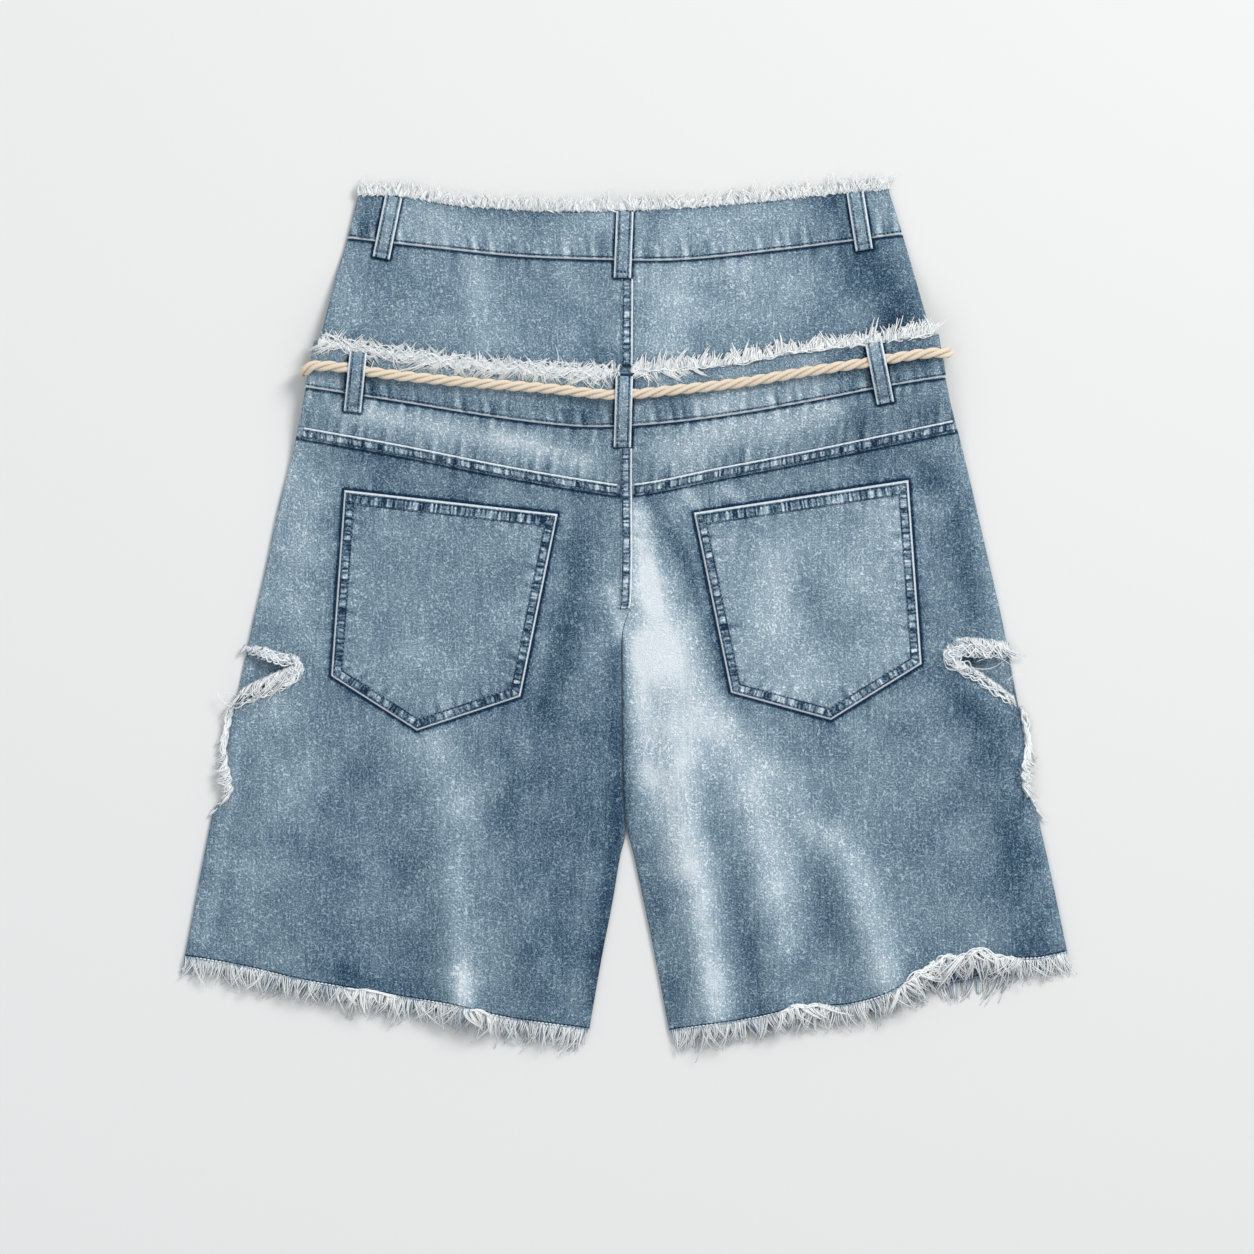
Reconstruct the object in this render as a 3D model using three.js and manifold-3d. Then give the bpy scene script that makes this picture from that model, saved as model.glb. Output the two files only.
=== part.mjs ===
// Denim shorts with a double waistband, raw frayed edges and a rope belt.
// They lie flat on their front: +Z is up out of the back, +Y runs to the waist and +X to the view's right.
// Lengths are millimetres.
import * as THREE from 'three';
import { mergeVertices } from 'three/addons/utils/BufferGeometryUtils.js';
import Module from 'manifold-3d';

const wasm = await Module();
wasm.setup();

// Walls, gaps and small parts
const DENIM = 1.2;
const WAISTBAND = 2.2;
const SEAM = 0.3;
const LAID = 0.5;
const PLY_GAP = 1.4;
const BUTT_GAP = 0.5;
const UPPER_LAP = 4;
const FOLD_AIR = 0.5;
const FOLD_AIR_Y = 112;
const FOLD_AIR_REACH = 55;
const ROPE_RADIUS = 4;
const ROPE_GROOVE = 0.8;
const ROPE_SIDE_AIR = 1.2;
const ROPE_TWIST_PITCH = 36;
const ROPE_LEFT_SAG = 6;
const LOOP_WIDTH = 13;
const LOOP_WALL = 1.2;
const FELLED_SEAM_WIDTH = 9;
const FELLED_SEAM_WALL = 0.8;
const YOKE_STEP = 1.6;
const YOKE_BLEND = 42;
const BAND_PROUD = 0.7;
const BAND_BLEND = 25;

// Stack over the front run of the rope, from the floor up
const FRONT_ROPE_Z = LOOP_WALL + SEAM + ROPE_RADIUS;
const FRONT_LIFT = FRONT_ROPE_Z + ROPE_RADIUS + SEAM + WAISTBAND + SEAM;
const LIFT_REACH = 90;
const EDGE_REACH = 36;

// Side folds of the upper part, from the waist down to where it ends under the lower waistband
const UPPER_SIDES = [
  { y: 322, left: -200, right: 195 },
  { y: 280, left: -210, right: 208 },
  { y: 256, left: -217.5, right: 215 },
  { y: 235, left: -223, right: 221 },
  { y: 205, left: -230.5, right: 229.5 },
  { y: 160, left: -240, right: 239.5 },
];

// Side folds of the lower waistband, the yoke and the legs
const LOWER_SIDES = [
  { y: 212, left: -233.5, right: 233.5 },
  { y: 160, left: -243.5, right: 243 },
  { y: 123, left: -251, right: 252.5 },
  { y: 78, left: -262.5, right: 263 },
  { y: 33, left: -272, right: 273.5 },
  { y: -12, left: -282.5, right: 283.5 },
  { y: -57, left: -292, right: 292 },
  { y: -102, left: -302, right: 300 },
  { y: -147, left: -311, right: 308 },
  { y: -192, left: -320, right: 318 },
  { y: -237, left: -328.5, right: 327.5 },
  { y: -270, left: -335, right: 334 },
];

// Line between the legs and the air left at it
const BETWEEN_LEGS = [
  { y: 110, x: 3.8, gap: 0.3 },
  { y: 10, x: 3.2, gap: 0.3 },
  { y: -12, x: -3, gap: 0.4 },
  { y: -30, x: -3.9, gap: 0.7 },
  { y: -143, x: -2.6, gap: 0.7 },
  { y: -164, x: -0.2, gap: 1.6 },
  { y: -181, x: 0, gap: 10 },
  { y: -215, x: 0.8, gap: 23 },
  { y: -260, x: 1.1, gap: 41 },
  { y: -315, x: 1.6, gap: 61 },
];
const CROTCH_TOP = -2;
const CROTCH_FULL = -45;

// Edges and seams that run across the garment
const WAIST_EDGE = [
  { x: -205, y: 315 }, { x: -170, y: 314 }, { x: -125, y: 307 }, { x: -50, y: 303 },
  { x: 25, y: 304.5 }, { x: 100, y: 310 }, { x: 160, y: 316.5 }, { x: 200, y: 319.5 },
];
const UPPER_BAND_SEAM = [
  { x: -210, y: 282 }, { x: -140, y: 274 }, { x: -80, y: 268 }, { x: -13, y: 265.5 },
  { x: 40, y: 265.5 }, { x: 115, y: 273 }, { x: 208, y: 285 },
];
const LOWER_BAND_EDGE = [
  { x: -235, y: 205.5 }, { x: -170, y: 194.5 }, { x: -95, y: 186 }, { x: -5, y: 181.5 },
  { x: 47, y: 184.5 }, { x: 85, y: 188 }, { x: 122, y: 195.5 }, { x: 160, y: 200 }, { x: 233, y: 210 },
];
const LOWER_BAND_SEAM = [
  { x: -240, y: 170 }, { x: -170, y: 159 }, { x: -95, y: 147 }, { x: -35, y: 140.5 },
  { x: 10, y: 141.5 }, { x: 70, y: 148 }, { x: 130, y: 158 }, { x: 197, y: 171 }, { x: 240, y: 178 },
];
const YOKE_SEAM = [
  { x: -248, y: 141 }, { x: -170, y: 127 }, { x: -95, y: 112 }, { x: -28, y: 100.5 },
  { x: 3, y: 97.5 }, { x: 70, y: 110 }, { x: 130, y: 121.5 }, { x: 205, y: 137 }, { x: 248, y: 146 },
];
const HEM_LEFT = [
  { x: -334, y: -257 }, { x: -290, y: -264.5 }, { x: -245, y: -275 }, { x: -178, y: -286.5 },
  { x: -133, y: -294 }, { x: -88, y: -304 }, { x: -29, y: -312 },
];
const HEM_RIGHT_BACK = [
  { x: 32, y: -313 }, { x: 70, y: -308 }, { x: 100, y: -303 }, { x: 130, y: -296 }, { x: 165, y: -294 },
  { x: 197, y: -285 }, { x: 223, y: -268.5 }, { x: 257, y: -258 }, { x: 306, y: -259 }, { x: 332, y: -253.5 },
];
const HEM_RIGHT_FRONT = [
  { x: 32, y: -312 }, { x: 100, y: -302 }, { x: 152, y: -294.5 }, { x: 197, y: -286 },
  { x: 227, y: -279 }, { x: 272, y: -271 }, { x: 306, y: -262 }, { x: 332, y: -254 },
];

// Route of the rope across the back
const ROPE_LINE = [
  { x: -226, y: 186.5 }, { x: -193, y: 181.5 }, { x: -133, y: 175 }, { x: -58, y: 169 }, { x: -9, y: 164.5 },
  { x: 40, y: 168.5 }, { x: 100, y: 175.5 }, { x: 130, y: 181 }, { x: 182, y: 189 }, { x: 220, y: 195 },
  { x: 240, y: 196.5 },
];

// Loft of the back over the front: the even part by height, then single folds as soft ridges
const LOFT = [
  { y: 320, height: 0.5 }, { y: 250, height: 1.4 }, { y: 195, height: 0.6 }, { y: 140, height: 0.8 },
  { y: 60, height: 2.6 }, { y: -40, height: 4.2 }, { y: -150, height: 5.2 }, { y: -315, height: 6 },
];
const FOLDS = [
  { part: 'left', x0: -146, y0: -90, x1: -124, y1: -300, width: 19, height: 9 },
  { part: 'left', x0: -104, y0: -130, x1: -64, y1: -300, width: 15, height: 4 },
  { part: 'left', x0: -272, y0: -90, x1: -240, y1: -280, width: 27, height: 5 },
  { part: 'right', x0: 22, y0: -30, x1: 66, y1: -308, width: 17, height: 7 },
  { part: 'right', x0: 84, y0: -95, x1: 118, y1: -300, width: 16, height: 6 },
  { part: 'right', x0: 132, y0: -130, x1: 202, y1: -288, width: 18, height: 8 },
  { part: 'right', x0: 285, y0: -150, x1: 256, y1: -262, width: 26, height: 7 },
  { part: 'upper', x0: -114, y0: 262, x1: -112, y1: 205, width: 16, height: 1.2 },
  { part: 'upper', x0: 34, y0: 262, x1: 30, y1: 205, width: 20, height: 1.4 },
];

// Patch pockets: corners in order from the outer top one, round by the centre, to the outer bottom one
const POCKETS = [
  { name: 'pocket_left', corners: [[-212, 93], [-52, 75], [-80, -62], [-157.5, -87.5], [-222, -46.5]] },
  { name: 'pocket_right', corners: [[211, 100.5], [50, 76], [78, -59], [153, -79.5], [221, -37.5]] },
];
const POCKET_HEM = 10;
const POCKET_HEM_PROUD = 0.5;

// Belt loops: middle line from the upper to the lower end
const UPPER_LOOPS = [
  { name: 'belt_loop_upper_left', top: [-175, 313], bottom: [-184.5, 267] },
  { name: 'belt_loop_upper_centre', top: [-1.5, 302], bottom: [-3.5, 252] },
  { name: 'belt_loop_upper_right', top: [171, 316.5], bottom: [178, 273] },
];
const LOWER_LOOPS = [
  { name: 'belt_loop_lower_left', top: [-201.5, 196.5], bottom: [-206, 151.5] },
  { name: 'belt_loop_lower_centre', top: [-2, 178.5], bottom: [-3.5, 125] },
  { name: 'belt_loop_lower_right', top: [185, 203.5], bottom: [194, 158] },
];
const FRONT_LOOP_X = 112;
const FRONT_LOOP_REACH = 21;
const LOOP_SLACK = 2;

// Buttons on the hidden front
const BUTTON_RADIUS = 8.5;
const BUTTON_HEIGHT = 3.2;
const BUTTON_X = -9;
const UPPER_BUTTON_Y = 285;
const LOWER_BUTTON_Y = 150;
const BUTTON_BUMP_REACH = 80;
const BUTTON_AIR = 0.9;

// Rips on the outer thighs: edge of the hole from the side fold in to its tip, and back out to the fold
const RIPS = [
  {
    side: 'left', sign: -1,
    upper: [[-287, -26], [-274, -26], [-260, -31], [-247.5, -32.5]],
    tip: [-243, -43.5],
    lower: [[-253, -52.5], [-268, -59], [-283, -65], [-295, -69]],
    bite: [[-300.5, -98], [-300, -113], [-297.5, -123], [-296, -132], [-300, -139], [-311, -147]],
  },
  {
    side: 'right', sign: 1,
    upper: [[286, -23], [274, -21], [261, -19.5], [248, -19.5]],
    tip: [237.5, -29],
    lower: [[240, -38], [254, -45], [272, -56], [292, -69]],
    bite: [[299.5, -98], [298, -110], [296.5, -121], [297.5, -130], [301.5, -138], [308, -147]],
  },
];
const RIP_OUTSIDE = 12;

// Fringe: strip at the roots, then tapering locks of three-stage length
const STRIP_WIDTH = 1.8;
const STRIP_WALL = 1;
const SLOPE_SPAN = 5;
const LOCK_MIDDLE = 0.55;
const LOCK_COUNTS = {
  waist: 30, frontWaist: 12, band: 15, frontBand: 10, hem: 30, frontHem: 12, rip: 5, side: 7,
};

// Finishes
const CLOTH = { color: 0x8fa6b6, roughness: 0.9, metalness: 0 };
const CLOTH_DEEP = { color: 0x7790a3, roughness: 0.9, metalness: 0 };
const FRAY = { color: 0xdde4e8, roughness: 0.95, metalness: 0 };
const COTTON_ROPE = { color: 0xd4c7b4, roughness: 0.85, metalness: 0 };
const BUTTON_METAL = { color: 0xa8743f, roughness: 0.4, metalness: 0.9 };

const clamp = (value) => Math.min(1, Math.max(0, value));
const mix = (a, b, t) => a + (b - a) * t;
const smooth = (value) => clamp(value) ** 2 * (3 - 2 * clamp(value));
const swell = (value) => Math.sin(clamp(value) * Math.PI / 2);
const hill = (value) => (1 - Math.min(1, Math.abs(value)) ** 2) ** 2;

// Smooth curve through the rows of a table, from one named column to another; straight past its ends
function curve(rows, from, to) {
  const ordered = [...rows].sort((a, b) => a[from] - b[from]);
  const at = ordered.map((row) => row[from]);
  const value = ordered.map((row) => row[to]);
  const last = at.length - 1;
  const slope = at.map((_, k) => {
    const before = Math.max(0, k - 1);
    const after = Math.min(last, k + 1);
    return (value[after] - value[before]) / (at[after] - at[before]);
  });
  return (x) => {
    if (x <= at[0]) return value[0] + slope[0] * (x - at[0]);
    if (x >= at[last]) return value[last] + slope[last] * (x - at[last]);
    const k = at.findIndex((start, n) => x >= start && x < at[n + 1]);
    const width = at[k + 1] - at[k];
    const t = (x - at[k]) / width;
    return (1 + 2 * t) * (1 - t) ** 2 * value[k] + t * (1 - t) ** 2 * width * slope[k]
      + t * t * (3 - 2 * t) * value[k + 1] + t * t * (t - 1) * width * slope[k + 1];
  };
}

const upperLeft = curve(UPPER_SIDES, 'y', 'left');
const upperRight = curve(UPPER_SIDES, 'y', 'right');
const lowerLeft = curve(LOWER_SIDES, 'y', 'left');
const lowerRight = curve(LOWER_SIDES, 'y', 'right');
const middleLine = curve(BETWEEN_LEGS, 'y', 'x');
const middleGap = curve(BETWEEN_LEGS, 'y', 'gap');
const waistEdge = curve(WAIST_EDGE, 'x', 'y');
const upperBandSeam = curve(UPPER_BAND_SEAM, 'x', 'y');
const lowerBandEdge = curve(LOWER_BAND_EDGE, 'x', 'y');
const lowerBandSeam = curve(LOWER_BAND_SEAM, 'x', 'y');
const yokeSeam = curve(YOKE_SEAM, 'x', 'y');
const hemLeft = curve(HEM_LEFT, 'x', 'y');
const hemRightBack = curve(HEM_RIGHT_BACK, 'x', 'y');
const hemRightFront = curve(HEM_RIGHT_FRONT, 'x', 'y');
const ropeLine = curve(ROPE_LINE, 'x', 'y');
const loftHeight = curve(LOFT, 'y', 'height');
const innerLeft = (y) => middleLine(y) - middleGap(y) / 2;
const innerRight = (y) => middleLine(y) + middleGap(y) / 2;
const below = (line, drop) => (x) => line(x) - drop;

// How far the inner edges of the legs are turned down: none on the seat, fully from the crotch down
const crotchTurn = (y) => smooth((CROTCH_TOP - y) / (CROTCH_TOP - CROTCH_FULL));

// Height of the front's lower face: flat on the floor, lifted over the rope's front run and the upper button
function frontLift(x, y) {
  const button = hill(Math.hypot(x - BUTTON_X, y - UPPER_BUTTON_Y) / BUTTON_BUMP_REACH);
  return FRONT_LIFT * hill((y - ropeLine(x)) / LIFT_REACH) + (BUTTON_HEIGHT + BUTTON_AIR) * button
    + BAND_PROUD * smooth((y - upperBandSeam(x) + BAND_BLEND) / BAND_BLEND);
}
const sideFoldHeight = (x, y) => frontLift(x, y) + DENIM + PLY_GAP / 2;

// A fold is a ridge along a line that grows from its start and keeps its height past its end
function ridge(fold, x, y) {
  const alongX = fold.x1 - fold.x0;
  const alongY = fold.y1 - fold.y0;
  const length = Math.hypot(alongX, alongY);
  const along = ((x - fold.x0) * alongX + (y - fold.y0) * alongY) / length ** 2;
  const off = ((x - fold.x0) * alongY - (y - fold.y0) * alongX) / length;
  return fold.height * smooth(along * 1.6) * Math.exp(-((off / fold.width) ** 2));
}

const foldsOf = (part, x, y) => FOLDS.filter((fold) => fold.part === part)
  .reduce((sum, fold) => sum + ridge(fold, x, y), 0);

function legLoft(x, y) {
  const toSide = Math.min(x - lowerLeft(y), lowerRight(y) - x);
  const toInside = Math.abs(x - middleLine(y)) - middleGap(y) / 2;
  const inside = 1 - crotchTurn(y) * (1 - swell(toInside / EDGE_REACH));
  const folds = foldsOf(x < middleLine(y) ? 'left' : 'right', x, y);
  return swell(toSide / EDGE_REACH) * inside * (loftHeight(y) + folds);
}

function upperLoft(x, y) {
  const toSide = Math.min(x - upperLeft(y), upperRight(y) - x);
  const fade = smooth((y - lowerBandEdge(x)) / 15);
  const folds = foldsOf('upper', x, y);
  const toBand = smooth((upperBandSeam(x) - y) / 15);
  return swell(toSide / EDGE_REACH) * (loftHeight(y) + fade * toBand * folds);
}

// Outer faces of the shells
const yokeStep = (x, y) => YOKE_STEP * (1 - smooth((lowerBandSeam(x) - y) / YOKE_BLEND));
const upperBack = (x, y) => frontLift(x, y) + DENIM + PLY_GAP + upperLoft(x, y) + DENIM;
const upperBandBack = (x, y) => upperBack(x, y) + BAND_PROUD;
const upperBandFront = (x, y) => Math.max(0, frontLift(x, y) - BAND_PROUD);
const lowerBandBack = (x, y) => upperBack(x, y) + SEAM + WAISTBAND;
const lowerBandFront = (x, y) => frontLift(x, y) - SEAM - WAISTBAND;
const legBack = (x, y) => frontLift(x, y) + DENIM + PLY_GAP + DENIM + yokeStep(x, y)
  + mix(legLoft(x, y), upperLoft(x, y), smooth((y - lowerBandSeam(x) + YOKE_BLEND) / YOKE_BLEND));
const legFront = (x, y) => Math.max(0, frontLift(x, y) - yokeStep(x, y));

// A closed solid from its corner points and its faces, turned so that the faces point out
function solid(points, faces) {
  const volume = faces.reduce((sum, [a, b, c]) => sum + points[a].dot(points[b].clone().cross(points[c])), 0);
  const index = volume > 0 ? faces.flat() : faces.flatMap(([a, b, c]) => [a, c, b]);
  const geometry = new THREE.BufferGeometry();
  geometry.setAttribute('position', new THREE.Float32BufferAttribute(points.flatMap((p) => p.toArray()), 3));
  geometry.setIndex(index);
  geometry.computeVertexNormals();
  return geometry;
}

// A wall behind a grid of face points. Each inner point lies one thickness behind its face point, in the
// plane across the garment, so that the walls of neighbours stay parallel at their seams.
function clothWall(face, thickness, facing, turnedLeft, turnedRight) {
  const last = face[0].length - 1;
  const inner = face.map((row) => row.map((point, j) => {
    const before = row[Math.max(0, j - 1)];
    const after = row[Math.min(last, j + 1)];
    const length = Math.hypot(after.x - before.x, after.z - before.z);
    let outX = -facing * (after.z - before.z) / length;
    let outZ = facing * (after.x - before.x) / length;
    if (j === 0 && turnedLeft(point.y) > 0.5) [outX, outZ] = [-1, 0];
    if (j === last && turnedRight(point.y) > 0.5) [outX, outZ] = [1, 0];
    return new THREE.Vector3(point.x - outX * thickness, point.y, point.z - outZ * thickness);
  }));
  const rows = face.length;
  const columns = last + 1;
  const points = [...face.flat(), ...inner.flat()];
  const outerAt = (i, j) => i * columns + j;
  const innerAt = (i, j) => rows * columns + i * columns + j;
  const faces = [];
  const quad = (a, b, c, d) => faces.push([a, b, c], [a, c, d]);
  for (let i = 0; i < rows - 1; i += 1) {
    for (let j = 0; j < last; j += 1) {
      quad(outerAt(i, j), outerAt(i + 1, j), outerAt(i + 1, j + 1), outerAt(i, j + 1));
      quad(innerAt(i, j), innerAt(i, j + 1), innerAt(i + 1, j + 1), innerAt(i + 1, j));
    }
    quad(outerAt(i, 0), innerAt(i, 0), innerAt(i + 1, 0), outerAt(i + 1, 0));
    quad(outerAt(i, last), outerAt(i + 1, last), innerAt(i + 1, last), innerAt(i, last));
  }
  for (let j = 0; j < last; j += 1) {
    quad(outerAt(0, j), outerAt(0, j + 1), innerAt(0, j + 1), innerAt(0, j));
    quad(outerAt(rows - 1, j), innerAt(rows - 1, j), innerAt(rows - 1, j + 1), outerAt(rows - 1, j + 1));
  }
  return solid(points, faces);
}

const straight = () => 0;
const folded = () => 1;
const CURL_STEPS = 3;

// A panel between two lines across the garment and two edges down it. A turned edge follows a quarter ellipse
// to the height where the back and the front are sewn together.
function panelGrid(spec) {
  const { top, bottom, left, right, rows, columns, face, facing, turnLeft, turnRight, round } = spec;
  const { crowd = 1 } = spec;
  const stations = [];
  const roundLeft = turnLeft === straight ? 0 : round;
  const roundRight = turnRight === straight ? 0 : round;
  for (let k = CURL_STEPS; k > 0 && roundLeft > 0; k -= 1) {
    stations.push({ across: 0, turn: -k / CURL_STEPS });
  }
  for (let k = 0; k <= columns; k += 1) stations.push({ across: k / columns, turn: 0 });
  for (let k = 1; k <= CURL_STEPS && roundRight > 0; k += 1) {
    stations.push({ across: 1, turn: k / CURL_STEPS });
  }
  const grid = [];
  for (let i = 0; i <= rows; i += 1) {
    grid.push(stations.map(({ across, turn }) => {
      const angle = turn * Math.PI / 2;
      let x = 0;
      let y = (top(0) + bottom(0)) / 2;
      for (let pass = 0; pass < 8; pass += 1) {
        x = mix(left(y) + roundLeft, right(y) - roundRight, across) + round * Math.sin(angle);
        y = mix(top(x), bottom(x), (i / rows) ** crowd);
      }
      const outside = face(x, y);
      const air = SEAM / 2 + FOLD_AIR * hill((y - FOLD_AIR_Y) / FOLD_AIR_REACH);
      const seam = sideFoldHeight(x, y) + facing * air;
      const turned = turn < 0 ? turnLeft(y) : turnRight(y);
      const drop = turn === 0 ? 0 : turned * (1 - Math.cos(angle)) * (outside - seam);
      return new THREE.Vector3(x, y, outside - drop);
    }));
  }
  return grid;
}

const edgeRows = {};

// The wall of a panel; the rows along its two ends are kept, because the fringes are made from their points
function panel(name, spec) {
  const grid = panelGrid(spec);
  const middle = (row) => row.map((p) => new THREE.Vector3(p.x, p.y, p.z - spec.facing * spec.thickness / 2));
  edgeRows[name] = { top: middle(grid[0]), bottom: middle(grid[grid.length - 1]) };
  return clothWall(grid, spec.thickness, spec.facing, spec.turnLeft, spec.turnRight);
}

// A strip laid on a face: its middle line is given, it lies `gap` above the face and is `wall` thick
function laidStrip({ middle, half, steps, face, gap, wall }) {
  const grid = [];
  for (let i = 0; i <= steps; i += 1) {
    const [x, y, acrossX, acrossY] = middle(i / steps);
    grid.push([-1, 1].map((side) => {
      const px = x + side * half * acrossX;
      const py = y + side * half * acrossY;
      return new THREE.Vector3(px, py, face(px, py) + gap + wall);
    }));
  }
  const faces = [];
  const columns = 2;
  const points = [...grid.flat(), ...grid.flat().map((p) => new THREE.Vector3(p.x, p.y, p.z - wall))];
  const lower = points.length / 2;
  const quad = (a, b, c, d) => faces.push([a, b, c], [a, c, d]);
  for (let i = 0; i < steps; i += 1) {
    for (let j = 0; j < columns - 1; j += 1) {
      const a = i * columns + j;
      quad(a, a + columns, a + columns + 1, a + 1);
      quad(lower + a, lower + a + 1, lower + a + columns + 1, lower + a + columns);
    }
    const start = i * columns;
    const end = start + columns - 1;
    quad(start, lower + start, lower + start + columns, start + columns);
    quad(end, end + columns, lower + end + columns, lower + end);
  }
  const bottomRow = steps * columns;
  for (let j = 0; j < columns - 1; j += 1) {
    quad(j, j + 1, lower + j + 1, lower + j);
    quad(bottomRow + j, lower + bottomRow + j, lower + bottomRow + j + 1, bottomRow + j + 1);
  }
  return solid(points, faces);
}

// A five-sided patch whose rows run from its top edge to its two lower edges
function pocket({ corners }) {
  const at = corners.map(([x, y]) => new THREE.Vector2(x, y));
  const [outerTop, innerTop, innerBottom, point, outerBottom] = at;
  const pointAcross = (point.x - outerBottom.x) / (innerBottom.x - outerBottom.x);
  const across = [0, 0.25, 0.5, 0.75, 1].map((t) => mix(0, pointAcross, t));
  across.push(...[0.25, 0.5, 0.75, 1].map((t) => mix(pointAcross, 1, t)));
  const depth = outerTop.distanceTo(outerBottom);
  const down = [0, POCKET_HEM / depth, (POCKET_HEM + 1) / depth, 0.2, 0.35, 0.5, 0.65, 0.8, 1];
  const grid = down.map((v) => across.map((u) => {
    const head = outerTop.clone().lerp(innerTop, u);
    const foot = u < pointAcross
      ? outerBottom.clone().lerp(point, u / pointAcross)
      : point.clone().lerp(innerBottom, (u - pointAcross) / (1 - pointAcross));
    const { x, y } = head.lerp(foot, v);
    const hem = v * depth <= POCKET_HEM ? POCKET_HEM_PROUD : 0;
    return new THREE.Vector3(x, y, legBack(x, y) + LAID + DENIM + hem);
  }));
  const forward = outerTop.x < innerTop.x ? grid : grid.map((row) => [...row].reverse());
  return clothWall(forward, DENIM, 1, straight, straight);
}

// A comb of tapering locks on a narrow wedge-shaped strip. spine(t) gives the strip's thin root edge, the
// direction of the locks, their length, and the height that they settle to.
function fringe(count, spine) {
  const points = [];
  const faces = [];
  const quad = (a, b, c, d) => faces.push([a, b, c], [a, c, d]);
  const segments = 2 * count + 1;
  const rings = [];
  const lift = new THREE.Vector3(0, 0, STRIP_WALL / 2);
  for (let i = 0; i <= segments; i += 1) {
    const { root, out } = spine(i / segments);
    const outer = root.clone().addScaledVector(out, STRIP_WIDTH);
    rings.push(points.length);
    points.push(root, outer.clone().add(lift), outer.clone().sub(lift));
  }
  for (let i = 0; i < segments; i += 1) {
    const [a, b] = [rings[i], rings[i + 1]];
    quad(a, b, b + 1, a + 1);
    quad(a + 2, b + 2, b, a);
    if (i % 2 === 0) {
      quad(a + 1, b + 1, b + 2, a + 2);
      continue;
    }
    const { out, length, settle } = spine((i + 0.5) / segments);
    const uneven = 0.8 + 0.2 * Math.sin(i * 2.3) * Math.cos(i * 0.7);
    const base = [a + 1, b + 1, b + 2, a + 2];
    const centre = base.reduce((sum, k) => sum.add(points[k]), new THREE.Vector3()).multiplyScalar(0.25);
    const reachTo = (reach) => {
      const at = centre.clone().addScaledVector(out, reach * length * uneven);
      at.z = mix(centre.z, settle(at.x, at.y), reach);
      return at;
    };
    const half = reachTo(0.5);
    const waist = base.map((k) => {
      points.push(points[k].clone().sub(centre).multiplyScalar(LOCK_MIDDLE).add(half));
      return points.length - 1;
    });
    points.push(reachTo(1));
    base.forEach((k, n) => {
      const next = (n + 1) % 4;
      quad(k, base[next], waist[next], waist[n]);
      faces.push([waist[n], waist[next], points.length - 1]);
    });
  }
  const end = rings[segments];
  faces.push([rings[0], rings[0] + 1, rings[0] + 2], [end, end + 2, end + 1]);
  return solid(points, faces);
}

// Spine of a fringe along a panel's end row; toward is 1 up the garment and -1 down it
function edgeSpine(row, from, to, toward, length, settle) {
  const at = (x) => {
    const k = Math.max(1, row.findIndex((point) => point.x > x));
    return row[k - 1].clone().lerp(row[k], (x - row[k - 1].x) / (row[k].x - row[k - 1].x));
  };
  return (t) => {
    const x = mix(from, to, t);
    const slope = (at(x + SLOPE_SPAN).y - at(x - SLOPE_SPAN).y) / (2 * SLOPE_SPAN);
    const out = new THREE.Vector3(-toward * slope, toward, 0).normalize();
    const root = at(x);
    root.y += toward * LAID;
    return { root, out, length, settle };
  };
}

// Spine of a fringe along a chain of points, with its locks all pointing one way
function chainSpine(chain, direction, length, rootHeight, settle) {
  const path = new THREE.CurvePath();
  chain.slice(1).forEach(([x, y], k) => {
    path.add(new THREE.LineCurve(new THREE.Vector2(...chain[k]), new THREE.Vector2(x, y)));
  });
  const out = new THREE.Vector3(...direction, 0).normalize();
  return (t) => {
    const at = path.getPointAt(t);
    const root = new THREE.Vector3(at.x, at.y, rootHeight(at.x, at.y)).addScaledVector(out, LAID);
    return { root, out, length: length(t), settle };
  };
}

function toManifold(geometry) {
  const bare = geometry.clone();
  bare.deleteAttribute('normal');
  if (bare.getAttribute('uv')) bare.deleteAttribute('uv');
  const merged = mergeVertices(bare, 1e-4);
  return new wasm.Manifold(new wasm.Mesh({
    numProp: 3,
    vertProperties: Float32Array.from(merged.getAttribute('position').array),
    triVerts: Uint32Array.from(merged.index.array),
  }));
}

function fromManifold(manifold) {
  const mesh = manifold.getMesh();
  const geometry = new THREE.BufferGeometry();
  geometry.setAttribute('position', new THREE.BufferAttribute(Float32Array.from(mesh.vertProperties), 3));
  geometry.setIndex(Array.from(mesh.triVerts));
  geometry.computeVertexNormals();
  return geometry;
}

// An upright prism over an outline, to cut a rip with
function ripCutter(outline) {
  const shape = new THREE.Shape(outline.map(([x, y]) => new THREE.Vector2(x, y)));
  const geometry = new THREE.ExtrudeGeometry(shape, { depth: 60, bevelEnabled: false });
  return toManifold(geometry.translate(0, 0, -5));
}

function ripHole({ upper, tip, lower, sign }) {
  const first = upper[0];
  const last = lower[lower.length - 1];
  const outside = ([x, y]) => [x + sign * RIP_OUTSIDE, y];
  return ripCutter([outside(first), ...upper, tip, ...lower, outside(last)]);
}

function ripBite({ bite, sign }) {
  const first = bite[0];
  const last = bite[bite.length - 1];
  const outside = ([x, y]) => [x + sign * RIP_OUTSIDE, y];
  return ripCutter([outside(first), ...bite, outside(last)]);
}

const cut = (geometry, cutters) => fromManifold(
  cutters.reduce((rest, cutter) => rest.subtract(cutter), toManifold(geometry)));

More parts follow.
